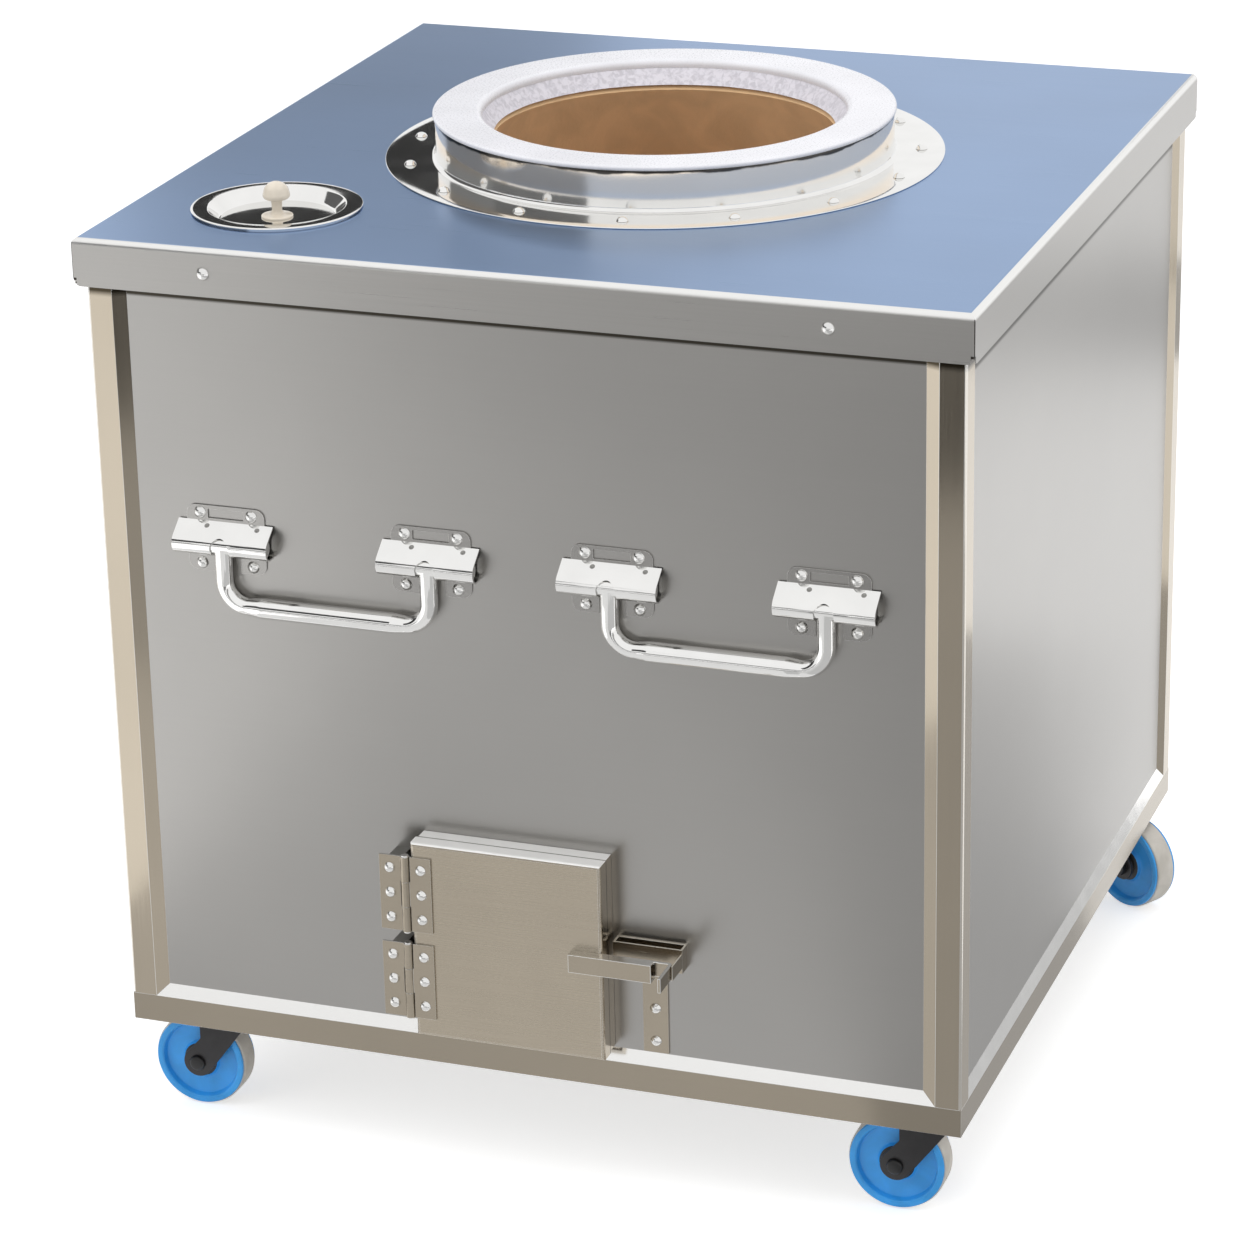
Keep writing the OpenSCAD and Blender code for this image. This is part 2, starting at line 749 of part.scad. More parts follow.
module door_core() {
    w = door_w - 2*tray_t - 4;
    h = door_h - 2*tray_t - 4;
    color("khaki")
    difference() {
        translate([door_x - w/2, -panel_y - door_t + tray_t, door_mid_z - h/2])
            cube([w, door_t - 2*tray_t - run_gap, h]);
        hinge_door_places() translate([0, 0, -leaf_t - tray_t - 3]) cylinder(r = 5, h = 4);
    }
}

// ---- hinges ----

module hinge_fixed_places() {
    for (z = hinge_zs, r = [-1, 0, 1])
        translate([hinge_x - hinge_side - leaf_w/2, -door_face - leaf_t, z + leaf_h/2 + r*rivet_step])
            rotate([90, 0, 0]) children();
}

module hinge_door_places() {
    for (z = hinge_zs, r = [-1, 0, 1])
        translate([door_left + leaf_w/2, -door_face - leaf_t, z + leaf_h/2 + r*rivet_step])
            rotate([90, 0, 0]) children();
}

// Knuckles of a hinge at the given thirds of its height
module knuckles(thirds) {
    gap = run_gap/2;
    for (k = thirds) translate([0, 0, k*knuckle_h + (k > 0 ? gap : 0)])
        cylinder(r = barrel_r, h = knuckle_h - (k > 0 ? gap : 0) - (k < 2 ? gap : 0));
}

// Plate that joins the knuckles to a leaf, side is 1 to the right and -1 to the left
module knuckle_webs(thirds, side) {
    gap = run_gap/2;
    for (k = thirds)
        translate([side > 0 ? 0 : -hinge_side - 0.01, -leaf_t/2, k*knuckle_h + (k > 0 ? gap : 0)])
            cube([hinge_side + 0.01, leaf_t, knuckle_h - (k > 0 ? gap : 0) - (k < 2 ? gap : 0)]);
}

module hinge_leaf(thirds, side) {
    difference() {
        union() {
            translate([side > 0 ? hinge_side : -hinge_side - leaf_w, -leaf_t/2, 0])
                cube([leaf_w, leaf_t, leaf_h]);
            knuckle_webs(thirds, side);
            knuckles(thirds);
        }
        translate([0, 0, -cut]) cylinder(r = pin_r + shaft_gap, h = leaf_h + 2*cut);
    }
}

module hinge_fixed_leaves() {
    color("silver")
    difference() {
        for (z = hinge_zs) translate([hinge_x, hinge_y, z]) hinge_leaf([0, 2], -1);
        hinge_fixed_places() rivet_hole(hinge_rivet, 10);
    }
}

module hinge_door_leaves() {
    color("silver")
    difference() {
        for (z = hinge_zs) translate([hinge_x, hinge_y, z]) hinge_leaf([1], 1);
        hinge_door_places() rivet_hole(hinge_rivet, 10);
    }
}

module hinge_pins() {
    color("gainsboro")
    for (z = hinge_zs) translate([hinge_x, hinge_y, z]) {
        translate([0, 0, -1.5]) cylinder(r = pin_r, h = leaf_h + 3);
        for (end = [-1.5, leaf_h]) translate([0, 0, end]) cylinder(r = barrel_r - 0.8, h = 1.5);
    }
}

// Blocks that bring the fixed leaves level with the door's face
module hinge_packers() {
    packer_w = 14;
    packer_h = leaf_h - 15;
    color("dimgray")
    difference() {
        for (z = hinge_zs)
            translate([hinge_x - hinge_side - leaf_w/2 - packer_w/2, -door_face,
                z + (leaf_h - packer_h)/2]) cube([packer_w, door_t, packer_h]);
        hinge_fixed_places() rivet_hole(hinge_rivet, door_t + 10);
    }
}

module hinge_fixed_rivets() {
    color("gainsboro") hinge_fixed_places() rivet(hinge_rivet, leaf_t + door_t + panel_t);
}

module hinge_door_rivets() {
    color("gainsboro") hinge_door_places() rivet(hinge_rivet, leaf_t + tray_t);
}

// ---- latch ----

// Hollow bar on the door's face, with a tongue that is bent forward into a finger tab
module latch_bar() {
    tip_x = door_right + tongue_past;
    color("silver") {
        translate([door_right - bar_over, -door_face - bar_d, bar_z - bar_h/2])
            difference() {
                cube([bar_over + bar_past, bar_d, bar_h]);
                translate([bar_wall, bar_wall, bar_wall])
                    cube([bar_over + bar_past, bar_d, bar_h - 2*bar_wall]);
            }
        translate([0, -door_face, tongue_z]) linear_extrude(tongue_h) polygon(concat(
            [[door_right - bar_over, 0], [door_right - bar_over, -tongue_t]],
            arc(tip_x - tab_r, -tab_r, tab_r - tongue_t, 90, 0, 4),
            [[tip_x - tongue_t, -tab_reach], [tip_x, -tab_reach]],
            arc(tip_x - tab_r, -tab_r, tab_r, 0, 90, 4)));
    }
}

module keeper_places() {
    for (z = [12, 46]) translate([keeper_x + keeper_w/2, -panel_y - leaf_t, keeper_z + z])
        rotate([90, 0, 0]) children();
}

// Riveted plate with a bridge that stands off the panel beside the door
module keeper_bracket() {
    bridge_left = door_right + bridge_gap;
    bridge_right = catch_x + catch_t;
    bridge_low = bar_z - 11;
    plate_top = bridge_low + bridge_h;
    color("silver")
    difference() {
        union() {
            translate([keeper_x, -panel_y - leaf_t, keeper_z])
                cube([keeper_w, leaf_t, plate_top - keeper_z]);
            translate([bridge_left, -panel_y - bridge_off, bridge_low])
                cube([bridge_right - bridge_left, bridge_t, bridge_h]);
            for (x = [bridge_left, bridge_right - bridge_t])
                translate([x, -panel_y - bridge_off, bridge_low])
                    cube([bridge_t, bridge_off, bridge_h]);
            translate([bridge_left, -panel_y - leaf_t, bridge_low])
                cube([bridge_right - bridge_left, leaf_t, bridge_h]);
        }
        keeper_places() rivet_hole(hinge_rivet, 10);
    }
}

module keeper_rivets() {
    color("gainsboro") keeper_places() rivet(hinge_rivet, leaf_t + panel_t);
}

// Spring arm that reaches from the bridge to the bend of the tongue
module keeper_catch() {
    root = -panel_y - bridge_off - run_gap;
    color("silver") translate([catch_x, -door_face - catch_reach, tongue_z])
        cube([catch_t, door_face + catch_reach + root, tongue_h]);
}

// ---- castors ----

module at_castor(i) {
    translate([castor_place(i)[0], castor_place(i)[1], 0]) rotate([0, 0, castor_turn[i]]) children();
}

module castor_bolt_places() {
    for (i = [0:3], x = [-bolt_step, bolt_step], y = [-bolt_step, bolt_step])
        translate([castor_place(i)[0] + x, castor_place(i)[1] + y, floor_z - pad_t]) children();
}

// Top plate, upper race and kingpin of each castor
module castor_plates() {
    head_h = 3;
    color("dimgray")
    difference() {
        for (i = [0:3]) translate([castor_place(i)[0], castor_place(i)[1], 0]) {
            translate([0, 0, plate_z]) linear_extrude(castor_plate_t)
                polygon(round_rect(castor_plate_w, castor_plate_w, 8));
            translate([0, 0, crown_z + fork_t + run_gap]) rotate_extrude() polygon(concat(
                [[0, 0], [race_r - 2, 0]], arc(race_r - 5, 5, 5, -50, 70, arc_steps),
                [[race_r - 7, race_h], [0, race_h]]));
            translate([0, 0, crown_z - run_gap]) cylinder(d = kingpin_d, h = fork_t + 3*run_gap);
            translate([0, 0, crown_z - run_gap - head_h]) cylinder(r = kingpin_d/2 + 3, h = head_h);
        }
        castor_bolt_places() translate([0, 0, -castor_plate_t - cut])
            cylinder(d = bolt_d + 1, h = castor_plate_t + 2*cut);
    }
}

module castor_bolts() {
    head_h = 5;
    color("darkgray")
    castor_bolt_places() {
        translate([0, 0, -castor_plate_t]) cylinder(d = bolt_d, h = castor_plate_t + pad_t);
        translate([0, 0, -castor_plate_t - head_h]) cylinder(r = 7.2, h = head_h, $fn = 6);
    }
}

// Side of the fork: crown above, round hub at the axle
module fork_leg() {
    axle = [-castor_trail, wheel_d/2];
    low = [crown_r, crown_z - 5];
    bend = [-crown_r + 3, crown_z - 26];
    a_right = touch_angle(low, axle, hub_r, -1);
    a_left = touch_angle(bend, axle, hub_r, 1);
    rotate([90, 0, 0]) linear_extrude(fork_t) polygon(concat(
        [[crown_r, crown_z + fork_t], [-crown_r + 3, crown_z + fork_t], bend],
        arc(axle[0], axle[1], hub_r, a_left, a_right + 360, 20), [low]));
}

module fork() {
    color("dimgray")
    difference() {
        union() {
            translate([0, -leg_y, 0]) fork_leg();
            translate([0, leg_y + fork_t, 0]) fork_leg();
            translate([0, 0, crown_z]) cylinder(r = crown_r, h = fork_t);
            translate([-crown_r + 3, -leg_y - fork_t, crown_z])
                cube([2*crown_r - 3, 2*(leg_y + fork_t), fork_t]);
        }
        translate([0, 0, crown_z - cut])
            cylinder(r = kingpin_d/2 + shaft_gap, h = fork_t + 2*cut);
        translate([-castor_trail, -leg_y - fork_t - cut, wheel_d/2]) rotate([-90, 0, 0])
            cylinder(r = axle_d/2 + rivet_gap, h = 2*(leg_y + fork_t + cut));
    }
}

// Axle bolt with a domed head at the front and a nut behind
module axle() {
    reach = leg_y + fork_t;
    color("black") translate([-castor_trail, 0, wheel_d/2]) rotate([90, 0, 0]) {
        translate([0, 0, -reach]) cylinder(d = axle_d, h = 2*reach);
        translate([0, 0, reach]) rotate_extrude()
            polygon(concat([[0, 0], [8, 0]], arc(4.5, 1, 3.5, 0, 90, 4), [[0, 5]]));
        translate([0, 0, -reach - 6]) cylinder(r = 9, h = 6, $fn = 6);
    }
}

tread_t = 6;
rim_step = 2.5;      // inner slope of the raised rim
lip_w = 3;           // rim left beside the tread, on each side

// Wheel core: hub, dished web and raised rim
module wheel_core() {
    core_r = wheel_d/2 - tread_t;
    hub_w = leg_y - run_gap;
    web_w = wheel_w/2 - 7;
    face = wheel_w/2;
    lip_r = wheel_d/2 - 1.5;
    half_section = concat(
        [[axle_d/2 + shaft_gap, hub_w], [11, hub_w], [hub_r + 3, face - 3], [hub_r + 4, web_w + 1],
        [core_r - rim_step - 1.5, web_w], [core_r - rim_step, face - 1.5], [core_r - rim_step + 1.5, face]],
        arc(lip_r - 1.5, face - 1.5, 1.5, 90, 0, 4),
        [[lip_r, face - lip_w], [core_r, face - lip_w]]);
    color("dodgerblue") translate([-castor_trail, 0, wheel_d/2]) rotate([90, 0, 0])
        rotate_extrude($fn = 96) polygon(concat(half_section,
            [for (i = [len(half_section) - 1:-1:0]) [half_section[i][0], -half_section[i][1]]]));
}

// Tread with rounded shoulders
module tread() {
    inner = wheel_d/2 - tread_t;
    outer = wheel_d/2;
    w = wheel_w/2 - lip_w - 0.1;
    shoulder = 1.6;
    color("lightgray") translate([-castor_trail, 0, wheel_d/2]) rotate([90, 0, 0])
        rotate_extrude($fn = 96) polygon(concat(
            [[inner, -w]],
            arc(outer - shoulder, -w + shoulder, shoulder, -90, 0, 4),
            arc(outer - shoulder, w - shoulder, shoulder, 0, 90, 4),
            [[inner, w]]));
}

module fork_front_left() { at_castor(0) fork(); }
module fork_front_right() { at_castor(1) fork(); }
module fork_rear_left() { at_castor(2) fork(); }
module fork_rear_right() { at_castor(3) fork(); }
module axle_front_left() { at_castor(0) axle(); }
module axle_front_right() { at_castor(1) axle(); }
module axle_rear_left() { at_castor(2) axle(); }
module axle_rear_right() { at_castor(3) axle(); }
module wheel_front_left() { at_castor(0) wheel_core(); }
module wheel_front_right() { at_castor(1) wheel_core(); }
module wheel_rear_left() { at_castor(2) wheel_core(); }
module wheel_rear_right() { at_castor(3) wheel_core(); }
module tread_front_left() { at_castor(0) tread(); }
module tread_front_right() { at_castor(1) tread(); }
module tread_rear_left() { at_castor(2) tread(); }
module tread_rear_right() { at_castor(3) tread(); }

placed() corner_posts();
placed() base_rails();
placed() front_panel();
placed() rear_panel();
placed() left_panel();
placed() right_panel();
placed() floor_plate();
placed() castor_pads();
placed() top_cover();
placed() cover_cleats();
placed() cover_rivets();
placed() mouth_collar();
placed() collar_rivets();
placed() mouth_ring();
placed() rim_liner();
placed() clay_pot();
placed() hearth_slab();
placed() insulation();
placed() ash_duct();
placed() well_pot();
placed() dish_lid();
placed() lid_knob();
placed() handle_plates();
placed() handle_straps();
placed() handle_rivets();
placed() left_bail();
placed() right_bail();
placed() door_front();
placed() door_rear();
placed() door_core();
placed() hinge_packers();
placed() hinge_fixed_leaves();
placed() hinge_door_leaves();
placed() hinge_pins();
placed() hinge_fixed_rivets();
placed() hinge_door_rivets();
placed() latch_bar();
placed() keeper_bracket();
placed() keeper_catch();
placed() keeper_rivets();
placed() castor_plates();
placed() castor_bolts();
placed() fork_front_left();
placed() fork_front_right();
placed() fork_rear_left();
placed() fork_rear_right();
placed() axle_front_left();
placed() axle_front_right();
placed() axle_rear_left();
placed() axle_rear_right();
placed() wheel_front_left();
placed() wheel_front_right();
placed() wheel_rear_left();
placed() wheel_rear_right();
placed() tread_front_left();
placed() tread_front_right();
placed() tread_rear_left();
placed() tread_rear_right();
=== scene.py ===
"""Looks of a charcoal clay tandoor oven: a square stainless steel body on four blue castors, with a
polished collar and a white ring round the clay pot's mouth, a lidded well, two drop handles and an ash door."""

import json
import math

import bpy
from mathutils import Matrix, Vector

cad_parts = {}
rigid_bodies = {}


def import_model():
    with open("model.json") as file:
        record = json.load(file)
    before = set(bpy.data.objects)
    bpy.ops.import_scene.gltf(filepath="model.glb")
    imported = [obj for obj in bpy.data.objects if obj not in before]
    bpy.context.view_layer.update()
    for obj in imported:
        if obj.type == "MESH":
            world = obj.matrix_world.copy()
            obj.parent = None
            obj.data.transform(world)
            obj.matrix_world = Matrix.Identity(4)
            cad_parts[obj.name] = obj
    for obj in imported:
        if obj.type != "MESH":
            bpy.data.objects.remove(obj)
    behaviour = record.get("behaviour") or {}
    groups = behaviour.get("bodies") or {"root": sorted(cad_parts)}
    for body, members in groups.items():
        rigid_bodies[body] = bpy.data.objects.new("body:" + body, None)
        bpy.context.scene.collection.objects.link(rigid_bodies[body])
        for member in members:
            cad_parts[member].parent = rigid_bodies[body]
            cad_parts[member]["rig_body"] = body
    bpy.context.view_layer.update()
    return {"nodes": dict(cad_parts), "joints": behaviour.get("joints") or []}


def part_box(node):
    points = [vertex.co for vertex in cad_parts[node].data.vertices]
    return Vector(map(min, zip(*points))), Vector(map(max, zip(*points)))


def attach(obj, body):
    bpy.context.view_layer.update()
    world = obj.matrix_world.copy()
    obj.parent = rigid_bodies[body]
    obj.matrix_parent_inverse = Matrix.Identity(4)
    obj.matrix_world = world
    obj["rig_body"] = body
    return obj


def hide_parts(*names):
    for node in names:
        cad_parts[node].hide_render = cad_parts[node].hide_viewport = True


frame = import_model()
NODES = frame["nodes"]

bl_info = {
    "name": "Clay tandoor oven",
    "version": (1, 0, 0),
    "blender": (4, 5, 0),
    "location": "3D View > Sidebar > Tandoor",
    "description": "Builds the looks of a clay tandoor oven round its CAD parts",
    "category": "Object",
}

MM = 0.001


def middle(node):
    """Middle of a CAD node's box."""
    low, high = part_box(node)
    return (low + high) / 2


def rgb(red, green, blue):
    """Linear colour from the 0 to 255 values of a display colour."""
    out = []
    for value in (red, green, blue):
        share = value / 255
        out.append(share / 12.92 if share <= 0.04045 else ((share + 0.055) / 1.055) ** 2.4)
    return tuple(out)


COVER_LOW, COVER_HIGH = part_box("top_cover")
MOUTH = middle("mouth_ring")
WELL = middle("dish_lid")
BODY_X, BODY_Y = MOUTH.x, MOUTH.y

# merging distances of new lathe work and of the CAD's loose triangles
LATHE_MERGE = 1e-6
CAD_MERGE = 5e-6
MOUTH_HOLE = 221 * MM
WELL_HOLE = 67.3 * MM
SHEET = 1.5 * MM
WHITE = (1.0, 1.0, 1.0)
# tone of the bands of painted shade: under the cover's lip and along the seam between the door trays
PAINTED_SHADE = (0.13, 0.12, 0.10)


# ---- sizes and colours that a user would change ----


class TandoorSizes(bpy.types.PropertyGroup):
    """Sizes of the details that the looks add to the CAD parts"""

    bend_radius: bpy.props.FloatProperty(
        name="Cover bend", description="Radius of the bend between the cover and its lip",
        default=6.5 * MM, min=1 * MM, max=8 * MM, unit="LENGTH")
    sheet_edge: bpy.props.FloatProperty(
        name="Sheet edge", description="Rounding of the cut edges of the steel sheets",
        default=0.4 * MM, min=0.1 * MM, max=1 * MM, unit="LENGTH")
    ring_rounding: bpy.props.FloatProperty(
        name="Ring rounding", description="Radius of the mouth ring's rolled inner edge",
        default=6 * MM, min=2 * MM, max=9 * MM, unit="LENGTH")
    pot_waver: bpy.props.FloatProperty(
        name="Pot waver", description="How far the hand-made clay wall strays from a true round",
        default=1.2 * MM, min=0, max=3 * MM, unit="LENGTH")


class TandoorColours(bpy.types.PropertyGroup):
    """Base colours of the oven's finishes"""

    panel: bpy.props.FloatVectorProperty(
        name="Panels", description="Brushed steel of the body panels",
        default=(0.40, 0.39, 0.375), subtype="COLOR", min=0, max=1)
    frame: bpy.props.FloatVectorProperty(
        name="Posts and rails", description="Brushed steel of the corner posts and bottom rails",
        default=(0.46, 0.405, 0.325), subtype="COLOR", min=0, max=1)
    cover: bpy.props.FloatVectorProperty(
        name="Cover", description="Blue film on the top of the cover",
        default=(0.230, 0.353, 0.575), subtype="COLOR", min=0, max=1)
    polish: bpy.props.FloatVectorProperty(
        name="Polished steel", description="Mirror finish of the collar, the lid and the handles",
        default=(0.88, 0.875, 0.86), subtype="COLOR", min=0, max=1)
    ring: bpy.props.FloatVectorProperty(
        name="Mouth ring", description="White enamel of the mouth ring",
        default=rgb(233, 233, 238), subtype="COLOR", min=0, max=1)
    clay: bpy.props.FloatVectorProperty(
        name="Clay", description="Baked clay of the pot",
        default=rgb(232, 196, 152), subtype="COLOR", min=0, max=1)
    wheel: bpy.props.FloatVectorProperty(
        name="Wheels", description="Blue moulded plastic of the castor wheels",
        default=rgb(58, 168, 246), subtype="COLOR", min=0, max=1)
    knob: bpy.props.FloatVectorProperty(
        name="Knob", description="Cream plastic of the lid's knob",
        default=rgb(232, 222, 206), subtype="COLOR", min=0, max=1)


class TandoorView(bpy.types.PropertyGroup):
    """Camera of the main picture"""

    turn: bpy.props.FloatProperty(
        name="Turn", description="Camera's angle to the right of the front",
        default=math.radians(19.96), subtype="ANGLE")
    rise: bpy.props.FloatProperty(
        name="Rise", description="Camera's angle above the horizon",
        default=math.radians(21.38), subtype="ANGLE")
    roll: bpy.props.FloatProperty(
        name="Roll", description="Camera's turn about its own line of sight",
        default=math.radians(-1.21), subtype="ANGLE")
    distance: bpy.props.FloatProperty(
        name="Distance", description="From the camera to the point it looks at",
        default=4.5314, min=1, unit="LENGTH")
    lens: bpy.props.FloatProperty(
        name="Lens", description="Focal length for a 36 mm sensor", default=127.86, min=20, unit="CAMERA")


def sizes():
    return bpy.context.scene.tandoor_sizes


def colours():
    return bpy.context.scene.tandoor_colours


# ---- modelling helpers ----


def deselect():
    """Leaves nothing selected."""
    for obj in list(bpy.context.selected_objects):
        obj.select_set(False)


def only(obj):
    """Selects one object and makes it active."""
    deselect()
    obj.select_set(True)
    bpy.context.view_layer.objects.active = obj


def added(name):
    """Names the object that has just been added."""
    obj = bpy.context.active_object
    obj.name = name
    obj.data.name = name
    return obj


def edit(obj):
    """Starts edit mode with the whole mesh selected."""
    only(obj)
    bpy.ops.object.mode_set(mode="EDIT")
    bpy.ops.mesh.select_mode(type="VERT")
    bpy.ops.mesh.select_all(action="SELECT")


def leave():
    bpy.ops.object.mode_set(mode="OBJECT")


def edit_some(obj, kind, chosen):
    """Starts edit mode with only the chosen vertices, edges or faces selected."""
    edit(obj)
    bpy.ops.mesh.select_all(action="DESELECT")
    leave()
    for item in {"VERT": obj.data.vertices, "EDGE": obj.data.edges, "FACE": obj.data.polygons}[kind]:
        item.select = chosen(item)
    bpy.ops.object.mode_set(mode="EDIT")
    bpy.ops.mesh.select_mode(type=kind)


def apply_all(obj):
    """Applies the modifiers and the object's place, turn and scale."""
    only(obj)
    for modifier in list(obj.modifiers):
        bpy.ops.object.modifier_apply(modifier=modifier.name)
    bpy.ops.object.transform_apply(location=True, rotation=True, scale=True)


def place(obj, location, rotation=(0, 0, 0)):
    """Sets a piece down and applies its place, so that its object stays at the origin."""
    obj.location = location
    obj.rotation_euler = rotation
    apply_all(obj)
    return obj


def add_bevel(obj, width, segments, angle):
    """Rounds the edges that are sharper than an angle in degrees."""
    bevel = obj.modifiers.new("rounding", "BEVEL")
    bevel.width = width
    bevel.segments = segments
    bevel.limit_method = "ANGLE"
    bevel.angle_limit = math.radians(angle)
    bevel.harden_normals = False
    return bevel


def cut_out(obj, cutter):
    """Takes a cutter's shape out of an object, and removes the cutter."""
    only(obj)
    cut = obj.modifiers.new("cut", "BOOLEAN")
    cut.operation = "DIFFERENCE"
    cut.solver = "EXACT"
    cut.object = cutter
    bpy.ops.object.modifier_apply(modifier=cut.name)
    bpy.data.objects.remove(cutter)


def smooth(obj, angle=40):
    """Shades smooth across edges that are blunter than an angle in degrees."""
    only(obj)
    bpy.ops.object.shade_smooth_by_angle(angle=math.radians(angle), keep_sharp_edges=False)


def level_faces(obj):
    """Lets the large flat faces keep their own direction, so that only the narrow roundings shade."""
    only(obj)
    weighted = obj.modifiers.new("level", "WEIGHTED_NORMAL")
    weighted.mode = "FACE_AREA"
    weighted.weight = 100
    weighted.keep_sharp = True
    bpy.ops.object.modifier_apply(modifier=weighted.name)


def arc(centre_a, centre_b, radius, start, end, steps):
    """Points on an arc, with its angles in degrees."""
    out = []
    for i in range(steps + 1):
        angle = math.radians(start + (end - start) * i / steps)
        out.append((centre_a + radius * math.cos(angle), centre_b + radius * math.sin(angle)))
    return out


def drawn(name, points):
    """Line through (across, up) points, extruded from a single vertex and left in edit mode."""
    deselect()
    bpy.ops.mesh.primitive_plane_add(size=0.01, location=(0, 0, 0))
    obj = added(name)
    edit(obj)
    bpy.ops.mesh.merge(type="CENTER")
    last = Vector((points[0][0], 0, points[0][1]))
    bpy.ops.transform.translate(value=last)
    for across, up in points[1:]:
        here = Vector((across, 0, up))
        bpy.ops.mesh.extrude_region_move(TRANSFORM_OT_translate={"value": here - last})
        last = here
    bpy.ops.mesh.select_all(action="SELECT")
    return obj


def lathe(name, profile, steps=96, closed=True):
    """Turns a profile of (radius, height) points about Z."""
    obj = drawn(name, list(profile) + ([profile[0]] if closed else []))
    bpy.ops.mesh.remove_doubles(threshold=LATHE_MERGE)
    bpy.ops.mesh.select_all(action="SELECT")
    bpy.ops.mesh.spin(steps=steps, angle=2 * math.pi, center=(0, 0, 0), axis=(0, 0, 1))
    bpy.ops.mesh.select_all(action="SELECT")
    bpy.ops.mesh.remove_doubles(threshold=LATHE_MERGE)
    bpy.ops.mesh.select_all(action="SELECT")
    bpy.ops.mesh.normals_make_consistent(inside=False)
    leave()
    return obj


def join(parts, name):
    """Makes one object of several."""
    only(parts[0])
    for part in parts:
        part.select_set(True)
    if len(parts) > 1:
        bpy.ops.object.join()
    return added(name)


def paint(obj, *names):
    """Gives an object its finishes, in the order of its material slots."""
    obj.data.materials.clear()
    for name in names:
        obj.data.materials.append(finish(name))


def repaint(obj, slot, chosen):
    """Gives the chosen faces another of the object's finishes."""
    for face in obj.data.polygons:
        if chosen(face):
            face.material_index = slot


def finish_piece(obj, body, slot, name, *nodes):
    """Gives a finished piece its finish and body, and hides the CAD nodes that it stands for."""
    if name:
        paint(obj, name)
    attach(obj, body)
    if nodes:
        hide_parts(*nodes)
    return obj


def cad_copy(node, name):
    """Merged copy of a CAD node, in edit mode."""
    only(NODES[node])
    bpy.ops.object.duplicate()
    obj = added(name)
    for key in list(obj.keys()):
        del obj[key]
    bpy.ops.object.parent_clear(type="CLEAR_KEEP_TRANSFORM")
    edit(obj)
    bpy.ops.mesh.remove_doubles(threshold=CAD_MERGE)
    bpy.ops.mesh.customdata_custom_splitnormals_clear()
    bpy.ops.mesh.select_all(action="SELECT")
    return obj


def eased(node, name, finishes, width, segments=2, angle=40, smooth_angle=40, slot="stainless"):
    """Stands in for a CAD node with a copy that has rounded edges, which take the last of its finishes."""
    obj = cad_copy(node, name)
    bpy.ops.mesh.dissolve_limited(angle_limit=math.radians(0.6))
    leave()
    paint(obj, *finishes)
    rounding = add_bevel(obj, width, segments, angle)
    # the roundings take the last finish; where that is the polished edge finish, it is a painted highlight
    rounding.material = len(finishes) - 1
    apply_all(obj)
    smooth(obj, smooth_angle)
    level_faces(obj)
    return finish_piece(obj, NODES[node]["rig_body"], slot, None, node)


# ---- shader nodes and groups ----


def add_node(tree, kind, inputs=(), **settings):
    """Adds a shader node with its settings, and links each input to a socket or sets its value."""
    node = tree.nodes.new("ShaderNode" + kind)
    for key, value in settings.items():
        setattr(node, key, value)
    for key, value in dict(inputs).items():
        if isinstance(value, bpy.types.NodeSocket):
            tree.links.new(value, node.inputs[key])
        else:
            node.inputs[key].default_value = value
    return node


def group_with(name, inputs, outputs):
    """New shader group with its sockets: inputs as (name, type, default), outputs as names of values."""
    group = bpy.data.node_groups.new(name, "ShaderNodeTree")
    for label, kind, default in inputs:
        socket = group.interface.new_socket(name=label, in_out="INPUT", socket_type=kind)
        socket.default_value = default
    for label in outputs:
        group.interface.new_socket(name=label, in_out="OUTPUT", socket_type="NodeSocketFloat")
    return group, group.nodes.new("NodeGroupInput").outputs, group.nodes.new("NodeGroupOutput").inputs


def brushed_grain():
    """Streaks of a brushed sheet, and the soft cloudiness of handled metal."""
    group, entry, out = group_with(
        "brushed grain",
        [("Stretch", "NodeSocketVector", (4.0, 4.0, 400.0)), ("Cloud Scale", "NodeSocketFloat", 5.0)],
        ["Streak", "Cloud"])
    where = add_node(group, "TexCoord").outputs["Object"]
    stretched = add_node(group, "VectorMath", {0: where, 1: entry["Stretch"]}, operation="MULTIPLY")
    streak = add_node(group, "TexNoise", {
        "Vector": stretched.outputs[0], "Scale": 1.0, "Detail": 5.0, "Roughness": 0.6})
    cloud = add_node(group, "TexNoise", {"Vector": where, "Scale": entry["Cloud Scale"], "Detail": 3.0})
    group.links.new(streak.outputs["Fac"], out["Streak"])
    group.links.new(cloud.outputs["Fac"], out["Cloud"])
    return group


def speckle():
    """Fine grit with larger soft patches, for mortar, clay, rubber and moulded plastic."""
    group, entry, out = group_with(
        "speckle",
        [("Grit Scale", "NodeSocketFloat", 300.0), ("Patch Scale", "NodeSocketFloat", 20.0)],
        ["Grit", "Patch"])
    where = add_node(group, "TexCoord").outputs["Object"]
    for label, values in (("Grit", {"Detail": 6.0, "Roughness": 0.65}), ("Patch", {"Detail": 4.0, "Distortion": 0.6})):
        noise = add_node(group, "TexNoise", {"Vector": where, "Scale": entry[label + " Scale"], **values})
        group.links.new(noise.outputs["Fac"], out[label])
    return group


def grain_in(tree, stretch, cloud_scale):
    """Places the brushed grain in a material, and gives its Streak and Cloud."""
    group = bpy.data.node_groups.get("brushed grain") or brushed_grain()
    return add_node(tree, "Group", {"Stretch": stretch, "Cloud Scale": cloud_scale}, node_tree=group).outputs


def speckle_in(tree, grit_scale, patch_scale):
    """Places the speckle in a material, and gives its Grit and Patch."""
    group = bpy.data.node_groups.get("speckle") or speckle()
    return add_node(tree, "Group", {"Grit Scale": grit_scale, "Patch Scale": patch_scale}, node_tree=group).outputs


def along(tree, axis):
    """Place along one of the object's axes."""
    where = add_node(tree, "TexCoord").outputs["Object"]
    return add_node(tree, "SeparateXYZ", {"Vector": where}).outputs[axis]


